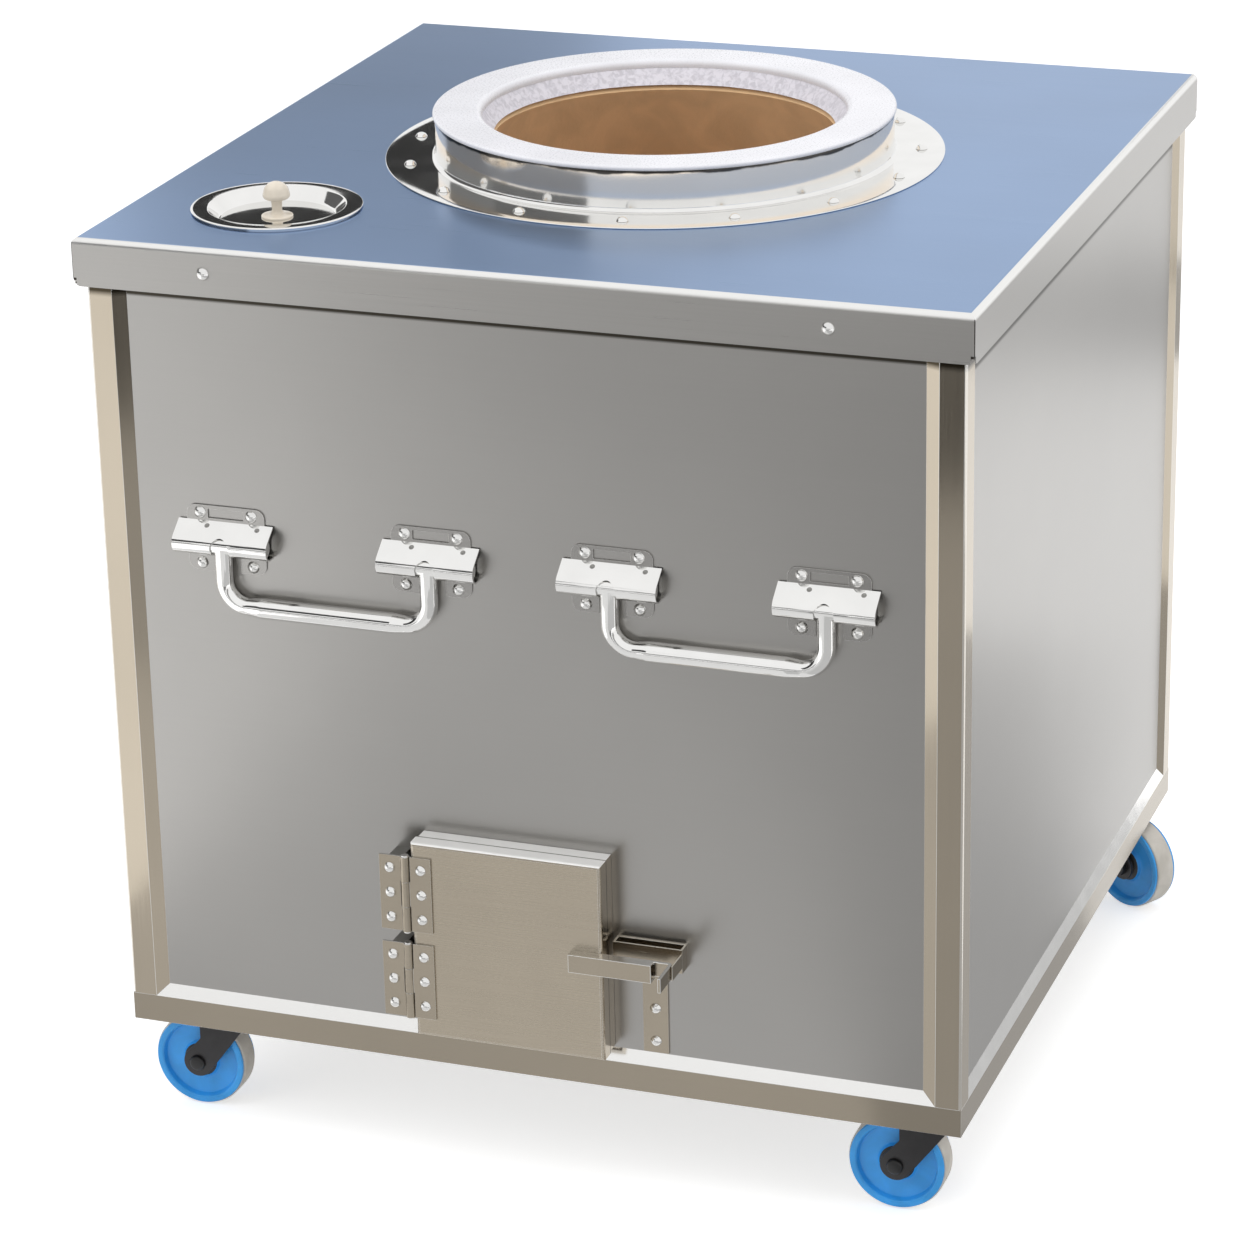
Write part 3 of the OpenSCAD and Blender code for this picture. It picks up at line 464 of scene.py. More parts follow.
def ramp(tree, source, low, high, low_at=0.3, high_at=0.7):
    """Colour that goes from low to high as a value rises."""
    node = add_node(tree, "ValToRGB", {"Fac": source})
    for stop, at, colour in zip(node.color_ramp.elements, (low_at, high_at), (low, high)):
        stop.position = at
        stop.color = (*colour, 1)
    return node.outputs["Color"]


def ranged(tree, source, low, high, from_low=0.25, from_high=0.75):
    """Value that goes from low to high as another rises."""
    return add_node(tree, "MapRange", {
        "Value": source, "From Min": from_low, "From Max": from_high, "To Min": low, "To Max": high}).outputs["Result"]


def mixed(tree, factor, first, second, blend="MIX"):
    """Blend of two colours, each a socket or a plain value."""
    return add_node(tree, "Mix", {"Factor": factor, "A": first, "B": second},
                    data_type="RGBA", blend_type=blend).outputs["Result"]


def painted_shade_band(tree, colour, axis, centre, near, far):
    """The colour with a band of painted shade: full up to near from the centre along an axis, and gone at far."""
    offset = add_node(tree, "Math", {0: along(tree, axis), 1: centre}, operation="SUBTRACT").outputs[0]
    away = add_node(tree, "Math", {0: offset}, operation="ABSOLUTE").outputs[0]
    band = ramp(tree, ranged(tree, away, 0.0, 1.0, near, far), PAINTED_SHADE, WHITE, 0.0, 1.0)
    return mixed(tree, 1.0, colour, band, "MULTIPLY")


def scaled(colour, factor):
    return tuple(min(1.0, c * factor) for c in colour)


# ---- materials ----


def new_material(name):
    """Material with an empty tree."""
    material = bpy.data.materials.new(name)
    material.use_nodes = True
    material.node_tree.nodes.clear()
    return material, material.node_tree


def principled(material, metal, base, gloss, relief, depth, distance=1 * MM, shade=None):
    """Ends a material with what every finish has: its metal, colour, roughness and fine relief."""
    tree = material.node_tree
    # a finish may carry a band of painted shade
    if shade:
        base = painted_shade_band(tree, base, *shade)
    bump = add_node(tree, "Bump", {"Strength": depth, "Distance": distance, "Height": relief})
    shader = add_node(tree, "BsdfPrincipled", {
        "Metallic": metal, "Base Color": base, "Roughness": gloss, "Normal": bump.outputs["Normal"]})
    add_node(tree, "OutputMaterial", {"Surface": shader.outputs["BSDF"]})
    return material


def brushed_steel(name, colour, stretch, rough, contrast, cloud_scale, depth, shade=None):
    """Brushed sheet: streaks along one direction in colour, gloss and relief."""
    material, tree = new_material(name)
    grain = grain_in(tree, stretch, cloud_scale)
    tone = ramp(tree, grain["Streak"], scaled(colour, 1 - contrast), scaled(colour, 1 + contrast))
    haze = ramp(tree, grain["Cloud"], scaled(WHITE, 0.95), WHITE, 0.35, 0.65)
    return principled(material, 1.0, mixed(tree, 1.0, tone, haze, "MULTIPLY"),
                      ranged(tree, grain["Streak"], *rough), grain["Streak"], depth, shade=shade)


def polished_steel(name, colour, rough, metal=1.0, shade=None):
    """Mirror finish with faint polishing haze."""
    material, tree = new_material(name)
    grain = grain_in(tree, (60, 60, 900), 30)
    tone = ramp(tree, grain["Cloud"], scaled(colour, 0.95), colour)
    return principled(material, metal, tone, ranged(tree, grain["Cloud"], *rough), grain["Streak"], 0.01,
                      0.5 * MM, shade)


def plain_grained(name, low, high, rough, grit_scale, patch_scale, depth, distance=0.6 * MM, spread=(0.35, 0.65)):
    """Dull or glossy non-metal with patches of two tones and a fine grit."""
    material, tree = new_material(name)
    speckles = speckle_in(tree, grit_scale, patch_scale)
    return principled(material, 0.0, ramp(tree, speckles["Patch"], low, high, *spread),
                      ranged(tree, speckles["Grit"], *rough), speckles["Grit"], depth, distance)


def cover_steel(name):
    """Blue satin film on the cover's flat top, bends in the polished colour as a painted highlight, and bare brushed
    lips.
    """
    material, tree = new_material(name)
    grain = grain_in(tree, (5, 600, 600), 2.2)
    height = along(tree, "Z")
    top, bend = COVER_HIGH.z, sizes().bend_radius
    film, steel = colours().cover, colours().panel
    on_top = ranged(tree, height, 0.0, 1.0, top - 0.35 * MM, top - 0.15 * MM)
    # the bends take the polished colour: painted highlight
    on_bend = ranged(tree, height, 0.0, 1.0, top - bend, top - 0.6 * bend)
    blue = ramp(tree, grain["Cloud"], scaled(film, 0.93), scaled(film, 1.05), 0.35, 0.65)
    bare = ramp(tree, grain["Streak"], scaled(steel, 0.98), scaled(steel, 1.02))
    bend_highlight = mixed(tree, on_bend, bare, (*colours().polish, 1))
    return principled(material, 1.0, mixed(tree, on_top, bend_highlight, blue),
                      ranged(tree, grain["Streak"], 0.27, 0.31), grain["Streak"], 0.006)


def collar_steel(name):
    """Polished band with a straw tint on its upper part, and a wavering dark line of painted shade under the ring."""
    material, tree = new_material(name)
    cloud = grain_in(tree, (16, 16, 120), 24)["Cloud"]
    height = along(tree, "Z")
    waver = add_node(tree, "Math", {0: cloud, 1: 9 * MM, 2: height}, operation="MULTIPLY_ADD").outputs[0]
    upper_tint = ranged(tree, height, 0.0, 1.0, COVER_HIGH.z + 12 * MM, COVER_HIGH.z + 22 * MM)
    # the dark wavering line under the ring is painted shade
    line = ranged(tree, waver, 0.0, 1.0, MOUTH.z + 0.6 * MM, MOUTH.z + 2.0 * MM)
    tint = ramp(tree, upper_tint, colours().polish, (0.98, 0.87, 0.74), 0.0, 1.0)
    return principled(material, 0.85, mixed(tree, line, tint, (0.07, 0.065, 0.06, 1)),
                      ranged(tree, cloud, 0.08, 0.14), cloud, 0.04)


def finish(name):
    """The material of that name, made when it is first asked for."""
    made = bpy.data.materials.get(name)
    if made is None:
        maker, *values = finish_table()[name]
        made = maker(name, *values)
    return made


def finish_table():
    """Maker and values of each finish, in the order of the maker's own arguments."""
    c = colours()
    lip = COVER_LOW.z
    # painted shade along the seam between the door's front and rear trays
    tray_seam_shade = ("Y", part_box("door_front")[1].y, 1.1 * MM, 1.7 * MM)
    panel = (brushed_steel, c.panel, (4, 4, 700), (0.275, 0.29), 0.006, 3, 0.001)
    return {
        # brushed: colour, stretch of the grain, roughness, contrast, cloud scale, relief, band of painted shade
        # the bands below the cover's lip, on the panels, the side panels and the posts, are painted shadow of the lip
        "panel steel": (*panel, ("Z", lip, 7 * MM, 9.5 * MM)),
        "side steel": (*panel, ("Z", lip, 19.5 * MM, 22.5 * MM)),
        "frame steel": (brushed_steel, c.frame, (500, 500, 5), (0.10, 0.14), 0.012, 5, 0.002,
                        ("Z", lip, 5.5 * MM, 11 * MM)),
        "rail steel": (brushed_steel, scaled(c.frame, 0.80), (5, 5, 700), (0.16, 0.20), 0.012, 5, 0.002),
        "door steel": (brushed_steel, scaled(c.frame, 1.03), (9, 9, 620), (0.24, 0.32), 0.035, 9, 0.006),
        "plate steel": (brushed_steel, scaled(c.panel, 0.92), (9, 9, 500), (0.20, 0.26), 0.012, 9, 0.002),
        "hinge steel": (brushed_steel, scaled(c.frame, 0.90), (12, 12, 500), (0.20, 0.28), 0.02, 14, 0.008),
        "duct steel": (brushed_steel, (0.30, 0.28, 0.25), (40, 10, 40), (0.35, 0.60), 0.12, 14, 0.03),
        "zinc steel": (brushed_steel, (0.36, 0.355, 0.34), (60, 60, 60), (0.30, 0.50), 0.10, 40, 0.03),
        # polished: colour, roughness, metal, band of painted shade
        "mirror steel": (polished_steel, c.polish, (0.04, 0.10)),
        "handle steel": (polished_steel, c.polish, (0.06, 0.12)),
        # polished edge finish on roundings, slopes and top faces of duller steel: painted highlight
        "edge steel": (polished_steel, c.polish, (0.10, 0.16)),
        "rivet steel": (polished_steel, scaled(c.polish, 0.92), (0.10, 0.16)),
        # warm pale steel for the keeper's top faces: painted highlight
        "shelf steel": (polished_steel, (0.84, 0.79, 0.69), (0.22, 0.30), 0.7),
        # near black: painted shade inside the cover's corner seams
        "seam shade": (polished_steel, (0.05, 0.045, 0.04), (0.30, 0.40)),
        # near-white tops of the door trays are a painted highlight; their sides take a lighter, glossier copy of the
        # door steel, painted for how they catch light
        "tray top": (polished_steel, (0.96, 0.955, 0.94), (0.30, 0.40), 0.15, tray_seam_shade),
        "tray side": (polished_steel, (0.62, 0.55, 0.45), (0.16, 0.24), 1.0, tray_seam_shade),
        "cover steel": (cover_steel,),
        "collar steel": (collar_steel,),
        # grained: two tones, roughness, grit scale, patch scale, relief, its distance, spread of the patches
        "hub black": (plain_grained, rgb(10, 10, 11), rgb(18, 18, 19), (0.35, 0.50), 500, 60, 0.10),
        "black enamel": (plain_grained, rgb(26, 24, 26), rgb(36, 34, 36), (0.28, 0.45), 600, 60, 0.15),
        "white enamel": (plain_grained, scaled(c.ring, 0.93), c.ring, (0.22, 0.36), 500, 14, 0.03),
        "mortar": (plain_grained, rgb(206, 204, 212), rgb(228, 226, 234), (0.60, 0.80), 420, 190, 0.35,
                   0.7 * MM, (0.38, 0.58)),
        "baked clay": (plain_grained, scaled(c.clay, 0.93), scaled(c.clay, 1.07), (0.80, 0.95), 260, 26, 0.5, 1 * MM),
        "blue plastic": (plain_grained, scaled(c.wheel, 0.90), scaled(c.wheel, 1.08), (0.25, 0.40), 500, 30, 0.05),
        "cream plastic": (plain_grained, scaled(c.knob, 0.90), c.knob, (0.12, 0.20), 300, 60, 0.02),
        "tread rubber": (plain_grained, rgb(204, 199, 190), rgb(224, 219, 211), (0.50, 0.70), 700, 40, 0.15),
        "mineral wool": (plain_grained, rgb(176, 158, 112), rgb(208, 192, 150), (0.85, 1.0), 300, 30, 0.8, 3 * MM),
        "firebrick": (plain_grained, rgb(134, 96, 76), rgb(170, 128, 104), (0.85, 1.0), 200, 30, 0.7, 2 * MM),
    }


# ---- pieces ----


class MakeCover(bpy.types.Operator):
    """Top cover: a folded sheet with soft bends, rounded lip corners and holes for the mouth and the well"""

    bl_idname = "tandoor.cover"
    bl_label = "Cover"

    def execute(self, context):
        size = COVER_HIGH - COVER_LOW
        centre = (COVER_LOW + COVER_HIGH) / 2
        deselect()
        bpy.ops.mesh.primitive_cube_add(size=1, location=centre, scale=size)
        obj = added("cover")
        apply_all(obj)
        obj.data.update()
        # bends: the top's four edges
        edit_some(obj, "EDGE", lambda edge: all(
            abs(obj.data.vertices[i].co.z - COVER_HIGH.z) < 1e-5 for i in edge.vertices))
        bpy.ops.mesh.bevel(offset=sizes().bend_radius, segments=8, profile=0.5, clamp_overlap=True)
        leave()
        # the tray is open below
        edit_some(obj, "FACE", lambda face: face.normal.z < -0.9)
        bpy.ops.mesh.delete(type="FACE")
        leave()
        wall = obj.modifiers.new("sheet", "SOLIDIFY")
        wall.thickness = SHEET
        wall.offset = -1.0
        apply_all(obj)
        cutters = []
        for spot, radius in ((MOUTH, MOUTH_HOLE), (WELL, WELL_HOLE)):
            deselect()
            bpy.ops.mesh.primitive_cylinder_add(
                vertices=128, radius=radius, depth=0.02, location=(spot.x, spot.y, COVER_HIGH.z))
            cutters.append(added("hole"))
        # rounded lower corners of the lips, and the seams between them
        for sx in (-1, 1):
            for sy in (-1, 1):
                corner = Vector((BODY_X + sx * size.x / 2, BODY_Y + sy * size.y / 2, COVER_LOW.z))
                for turn, side in ((0, sx), (math.pi / 2, sy)):
                    cutters.append(self.corner_cutter(corner, turn, side, sx, sy))
                deselect()
                bpy.ops.mesh.primitive_cube_add(
                    size=1, location=corner + Vector((0, 0, size.z / 2 - 5 * MM)),
                    rotation=(0, 0, math.atan2(sy, sx)), scale=(9 * MM, 1.1 * MM, size.z))
                cutters.append(added("seam"))
        for cutter in cutters:
            cut_out(obj, cutter)
        add_bevel(obj, 0.5 * MM, 2, 50)
        apply_all(obj)
        smooth(obj, 30)
        level_faces(obj)
        paint(obj, "cover steel", "seam shade")

        # faces in the corner seams are painted near black as painted shade in the gaps
        def at_seam(face):
            across = min(face.center.x - COVER_LOW.x, COVER_HIGH.x - face.center.x)
            back = min(face.center.y - COVER_LOW.y, COVER_HIGH.y - face.center.y)
            return math.hypot(across, back) < 2.5 * MM and abs(face.normal.z) < 0.5

        repaint(obj, 1, at_seam)
        finish_piece(obj, "casing", "cover_steel", None, "top_cover")
        return {"FINISHED"}

    def corner_cutter(self, corner, turn, side, sx, sy):
        """Block with a hollow quarter round, as wide as the lip's corner."""
        radius = 8 * MM
        obj = drawn("corner", [(2 * MM, -2 * MM), (2 * MM, radius)] + arc(-radius, radius, radius, 0, -90, 10)
                    + [(-radius, -2 * MM)])
        bpy.ops.mesh.edge_face_add()
        bpy.ops.mesh.extrude_region_move(TRANSFORM_OT_translate={"value": (0, 0.006, 0)})
        bpy.ops.mesh.select_all(action="SELECT")
        bpy.ops.transform.translate(value=(0, -0.003, 0))
        bpy.ops.mesh.normals_make_consistent(inside=False)
        leave()
        obj.scale = (side, 1, 1)
        only(obj)
        bpy.ops.object.transform_apply(location=False, rotation=False, scale=True)
        if side < 0:
            edit(obj)
            bpy.ops.mesh.normals_make_consistent(inside=False)
            leave()
        shift = Vector((0, -sy * 0.75 * MM, 0)) if turn == 0 else Vector((-sx * 0.75 * MM, 0, 0))
        return place(obj, corner + shift, (0, 0, turn))


class MakeMouth(bpy.types.Operator):
    """Mouth: polished collar with its flange, white ring, mortar cone and the clay pot below"""

    bl_idname = "tandoor.mouth"
    bl_label = "Mouth"

    def execute(self, context):
        top = COVER_HIGH.z
        ring_low, ring_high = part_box("mouth_ring")
        outer = (ring_high.x - ring_low.x) / 2
        flange = (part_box("mouth_collar")[1].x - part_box("mouth_collar")[0].x) / 2
        band = outer - 2 * MM
        ring_top = ring_high.z - top
        lip = ring_top - 4 * MM
        sheet = SHEET
        collar = lathe("collar", [(band - sheet, 0), (flange - 0.6 * MM, 0)]
                       + arc(flange - 0.75 * MM, 0.75 * MM, 0.72 * MM, -60, 90, 5)
                       + [(flange - 14 * MM, sheet)]
                       + arc(band + 5 * MM, sheet + 5 * MM, 5 * MM, 270, 180, 10)
                       + [(band, 12 * MM), (band, lip - 4 * MM)]
                       + [(band - 0.4 * MM, lip), (band - sheet, lip)], 160)
        place(collar, (MOUTH.x, MOUTH.y, top))
        smooth(collar, 40)
        paint(collar, "mirror steel", "collar steel")
        repaint(collar, 1, lambda face: (face.center.xy - MOUTH.xy).length < band + 1 * MM
                and face.center.z > top + 5 * MM)
        finish_piece(collar, "casing", "polished_steel", None, "mouth_collar")

        roll = sizes().ring_rounding
        inner = 177 * MM
        ring = lathe("mouth_ring_enamel", [(outer - 1.0 * MM, -4 * MM)]
                     + arc(outer - 1.5 * MM, -2.4 * MM, 1.5 * MM, -60, 0, 3)
                     + arc(outer - 2.2 * MM, -2.2 * MM, 2.2 * MM, 20, 90, 4)
                     + [(outer - 12 * MM, 0), (inner + roll + 12 * MM, 0)]
                     + arc(inner + roll, -roll, roll, 90, 180, 10)
                     + [(inner, -8 * MM), (inner + 3 * MM, -8 * MM), (inner + 3 * MM, -5.5 * MM),
                        (inner + roll, -4 * MM)], 160)
        place(ring, (MOUTH.x, MOUTH.y, ring_high.z))
        smooth(ring, 40)
        finish_piece(ring, "casing", "ring_white", "white enamel", "mouth_ring")

        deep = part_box("rim_liner")[0].z - ring_high.z
        cone = [(inner + (165.8 * MM - inner) * k / 6, -8 * MM + (deep + 8 * MM) * k / 6) for k in range(7)]
        liner = lathe("mortar_cone", cone + [(220.8 * MM, deep), (220.8 * MM, -4.1 * MM), (inner + roll, -4.1 * MM),
                                             (inner + 3 * MM, -5.6 * MM), (inner + 3 * MM, -8 * MM)], 128)
        place(liner, (MOUTH.x, MOUTH.y, ring_high.z))
        self.roughen(liner, 0.8 * MM, 0.03, lambda v: (v.xy - MOUTH.xy).length < 179 * MM)
        smooth(liner, 40)
        finish_piece(liner, "casing", "liner_white", "mortar", "rim_liner")
        self.make_pot()
        return {"FINISHED"}

    def roughen(self, obj, depth, scale, where):
        """Presses soft lumps into part of a surface."""
        group = obj.vertex_groups.new(name="rough")
        for vertex in obj.data.vertices:
            if where(vertex.co):
                group.add([vertex.index], 1.0, "REPLACE")
        texture = bpy.data.textures.new(obj.name + " lumps", "CLOUDS")
        texture.noise_scale = scale
        lumps = obj.modifiers.new("lumps", "DISPLACE")
        lumps.texture = texture
        lumps.strength = depth
        lumps.mid_level = 0.7
        lumps.texture_coords = "LOCAL"
        lumps.vertex_group = group.name
        apply_all(obj)
        obj.vertex_groups.clear()

    def make_pot(self):
        """Barrel-shaped pot, turned from its wall section, with a draught hole and a wavering inside."""
        low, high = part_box("clay_pot")
        height = high.z - low.z
        belly = 0.41 * height
        rise = height - belly
        radius_in, mouth, wall, floor = 250 * MM, 166 * MM, 32 * MM, 24 * MM
        curve = (rise ** 2 + (radius_in - mouth) ** 2) / (2 * (radius_in - mouth))

        def side(z, extra):
            return radius_in - curve + math.sqrt((curve + extra) ** 2 - (z - belly) ** 2)

        levels = [height * k / 28 for k in range(29)]
        outside = [(side(z, wall), z) for z in levels]
        inside = [(side(z, 0), z) for z in reversed(levels) if z > floor + 12 * MM]
        rim = [(side(height, wall) - 4 * MM, height), (side(height, 0) + 6 * MM, height)]
        outside[-1] = (side(height, wall), height - 3 * MM)
        inside[0] = (side(height, 0), height - 5 * MM)
        base_in = side(floor, 0) - 14 * MM
        profile = [(0, 0)] + outside + rim + inside + arc(base_in, floor + 14 * MM, 14 * MM, 0, -90, 6) + [(0, floor)]
        pot = lathe("clay_pot_turned", profile, 128, closed=False)
        place(pot, (MOUTH.x, MOUTH.y, low.z))
        duct = middle("ash_duct")
        deselect()
        bpy.ops.mesh.primitive_cylinder_add(
            vertices=64, radius=58 * MM, depth=0.25, location=(duct.x, MOUTH.y - 0.19, duct.z),
            rotation=(math.pi / 2, 0, 0))
        cut_out(pot, added("draught"))
        self.roughen(pot, sizes().pot_waver, 0.06,
                     lambda v: (v.xy - MOUTH.xy).length < side(v.z - low.z, 0) + 2 * MM
                     and v.z < high.z - 20 * MM and v.y > MOUTH.y - 0.18)
        smooth(pot, 40)
        finish_piece(pot, "casing", "clay", "baked clay", "clay_pot")


class MakeLid(bpy.types.Operator):
    """Well lid: spun dish with a rolled rim, and its mushroom knob"""

    bl_idname = "tandoor.lid"
    bl_label = "Well lid"

    def execute(self, context):
        low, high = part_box("dish_lid")
        rim = (high.x - low.x) / 2
        wall = 1.2 * MM
        deep = 11 * MM
        top, foot = 65.4 * MM, 57 * MM
        dish = lathe("lid_dish", [(0, wall - deep), (16 * MM, wall - deep), (foot - 4 * MM, wall - deep)]
                     + arc(foot - 4 * MM, wall - deep + 4 * MM, 4 * MM, -80, -30, 4)
                     + arc(top + 0.6 * MM, wall - 2 * MM, 2 * MM, 160, 90, 4)
                     + [(rim - 4 * MM, wall)]
                     + arc(rim - 0.6 * MM, 0.6 * MM, 0.6 * MM, 90, -90, 6)
                     + [(top + 1.6 * MM, 0.0), (top, -0.8 * MM), (foot + 0.4 * MM, 1.6 * MM - deep),
                        (foot - 2 * MM, -deep), (4 * MM, -deep), (4 * MM, -deep - 1.5 * MM), (0, -deep - 1.5 * MM)], 128, closed=False)
        place(dish, (WELL.x, WELL.y, high.z - wall))
        smooth(dish, 40)
        finish_piece(dish, "well_lid", "polished_steel", "mirror steel", "dish_lid")

        k_low, k_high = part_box("lid_knob")
        tall = k_high.z - k_low.z
        head = 13 * MM
        profile = ([(0, 0), (14.6 * MM, 0)] + arc(14 * MM, 1 * MM, 1 * MM, -45, 90, 5)
                   + [(10 * MM, 2.3 * MM)]
                   + arc(9.8 * MM, 7.4 * MM, 5 * MM, 260, 165, 8)
                   + [(5.0 * MM, 12 * MM), (5.4 * MM, 16 * MM)]
                   + [(8.5 * MM, 17.2 * MM)]
                   + arc(head - 4 * MM, 21 * MM, 4 * MM, -70, 20, 7)
                   + [(head * math.cos(t), 21.5 * MM + (tall - 21.5 * MM) * math.sin(t))
                      for t in [math.radians(a) for a in (28, 40, 52, 64, 76)]]
                   + [(0, tall)])
        knob = lathe("knob", profile, 64, closed=False)
        place(knob, (WELL.x, WELL.y, k_low.z))
        smooth(knob, 50)
        finish_piece(knob, "well_lid", "knob", "cream plastic", "lid_knob")
        return {"FINISHED"}


def rivet_head(name, width, height):
    """Low dome with a soft skirt, along Z, from z = 0 up."""
    radius = width / 2
    dome = (radius ** 2 + height ** 2) / (2 * height)
    reach = math.asin(min(1.0, (radius - 0.2 * MM) / dome))
    points = [(0, height)]
    for k in range(1, 9):
        angle = reach * k / 8
        points.append((dome * math.sin(angle), height - dome + dome * math.cos(angle)))
    points += [(radius, max(0.2 * MM, points[-1][1] * 0.5)), (radius - 0.3 * MM, 0), (0, 0)]
    head = lathe(name, points, 28, closed=False)
    smooth(head, 60)
    return head


def rivets_from(name, node, width, axis, slot, finish_name):
    """A modelled head at each place where the CAD node has a rivet, and the node's shanks behind them."""
    shanks = cad_copy(node, name + "_shanks")
    leave()
    direction = Vector(axis)
    height = 0.36 * width
    spots = []
    for island in loose_islands(shanks):
        centre = sum(island, Vector()) / len(island)
        base = max(p.dot(direction) for p in island) - height
        spots.append((centre - direction * centre.dot(direction), base))
    turn = Vector((0, 0, 1)).rotation_difference(direction).to_euler()
    first = rivet_head(name, width - 0.1 * MM, height - 0.05 * MM)
    parts = []
    for spot, base in spots:
        only(first)
        bpy.ops.object.duplicate()
        parts.append(place(bpy.context.active_object, spot + direction * base, turn))
    bpy.data.objects.remove(first)

    def in_old_head(vertex):
        level = vertex.co.dot(direction)
        flat = vertex.co - direction * level
        return any(base - 1e-5 < level < base + height + 1e-4 and (flat - spot).length < width
                   for spot, base in spots)

    edit_some(shanks, "VERT", in_old_head)
    bpy.ops.mesh.delete(type="VERT")
    leave()
    finish_piece(join(parts + [shanks], name), NODES[node]["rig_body"], slot, finish_name, node)


def loose_islands(obj):
    """Vertex places of each separate solid in a mesh."""
    parent = list(range(len(obj.data.vertices)))

    def root(i):
        while parent[i] != i:
            parent[i] = parent[parent[i]]
            i = parent[i]
        return i

    for edge in obj.data.edges:
        a, b = root(edge.vertices[0]), root(edge.vertices[1])
        if a != b:
            parent[a] = b
    groups = {}
    for vertex in obj.data.vertices:
        groups.setdefault(root(vertex.index), []).append(vertex.co.copy())
    return [groups[key] for key in sorted(groups)]


class MakeRivets(bpy.types.Operator):
    """Domed rivets of the cover, the flange, the handles, the hinges and the keeper"""

    bl_idname = "tandoor.rivets"
    bl_label = "Rivets"

    def execute(self, context):
        for name, node, width, axis, slot, finish_name in (
                ("flange_rivet_heads", "collar_rivets", 12 * MM, (0, 0, 1), "polished_steel", "mirror steel"),
                ("handle_rivet_heads", "handle_rivets", 12 * MM, (0, -1, 0), "stainless", "rivet steel"),
                ("hinge_fixed_rivet_heads", "hinge_fixed_rivets", 11 * MM, (0, -1, 0), "stainless", "rivet steel"),
                ("hinge_door_rivet_heads", "hinge_door_rivets", 11 * MM, (0, -1, 0), "stainless", "rivet steel"),
                ("keeper_rivet_heads", "keeper_rivets", 11 * MM, (0, -1, 0), "stainless", "rivet steel")):
            rivets_from(name, node, width, axis, slot, finish_name)
        return {"FINISHED"}


class MakeBody(bpy.types.Operator):
    """Body: posts and rails with soft folded edges, and the panels between them"""

    bl_idname = "tandoor.body"
    bl_label = "Body"

    def execute(self, context):
        fold = sizes().sheet_edge * 1.8
        # the roundings of the posts and rails take the polished edge finish: painted highlight
        eased("corner_posts", "corner_posts_folded", ("frame steel", "edge steel"), fold, 3, 12, 35)
        rails = eased("base_rails", "base_rails_folded", ("rail steel", "edge steel"), fold, 3, 12, 35)
        # the rails' sloping faces take the polished edge finish too: painted highlight
        repaint(rails, 1, lambda face: 0.25 < face.normal.z < 0.6)
        for node, name in (("front_panel", "panel steel"), ("rear_panel", "panel steel"), ("left_panel", "side steel"),
                           ("right_panel", "side steel"), ("floor_plate", "panel steel"),
                           ("cover_cleats", "frame steel")):
            paint(NODES[node], name)
        eased("cover_rivets", "cover_rivet_heads", ("rivet steel",), 0.2 * MM)
        return {"FINISHED"}


class MakeHandles(bpy.types.Operator):
    """Drop handles: riveted plates, folded straps with their spot marks, and the polished bails"""

    bl_idname = "tandoor.handles"
    bl_label = "Handles"

    def execute(self, context):
        edge = sizes().sheet_edge
        shiny = ("handle steel", "edge steel")
        # roundings of the plates take the polished edge finish: painted highlight
        eased("handle_plates", "handle_plates_pressed", ("plate steel", "edge steel"), edge * 2.2, 3, 30, 35)
        eased("handle_straps", "handle_straps_folded", shiny, edge * 0.9)
        finish_piece(join(self.spot_marks(), "strap_spot_marks"), "casing", "stainless", "zinc steel")
        for bail in ("left_bail", "right_bail"):
            eased(bail, bail + "_polished", shiny, 0.5 * MM, 2, 55, 50)
        return {"FINISHED"}

    def spot_marks(self):
        """Two shallow weld marks on the slope of each strap."""
        corners = []
        mesh = NODES["handle_straps"].data
        for face in mesh.polygons:
            if face.normal.z > 0.2 and face.normal.y < -0.2 and face.area > 1.5e-4:
                normal = face.normal.copy()
                corners += [mesh.vertices[i].co.copy() for i in face.vertices]
        if not corners:
            raise RuntimeError("the handle straps have no slope to mark")
        corners.sort(key=lambda c: c.x)
        slopes = [[corners[0]]]
        for last, corner in zip(corners, corners[1:]):
            if corner.x - last.x > 70 * MM:
                slopes.append([])
            slopes[-1].append(corner)
        marks = []
        for corners in slopes:
            left, right = min(c.x for c in corners), max(c.x for c in corners)
            upper, lower = max(corners, key=lambda c: c.z), min(corners, key=lambda c: c.z)
            spot = upper.lerp(lower, 0.30)
            for share in (0.32, 0.85):
                mark = lathe("mark", [(0, 0.08 * MM), (1.5 * MM, 0.05 * MM), (2.0 * MM, 0.25 * MM),
                                      (2.5 * MM, 0.02 * MM), (2.5 * MM, -0.1 * MM), (0, -0.1 * MM)], 20, closed=False)
                turn = Vector((0, 0, 1)).rotation_difference(normal).to_euler()
                marks.append(place(mark, (left + (right - left) * share, spot.y, spot.z), turn))
                smooth(marks[-1], 60)
        return marks


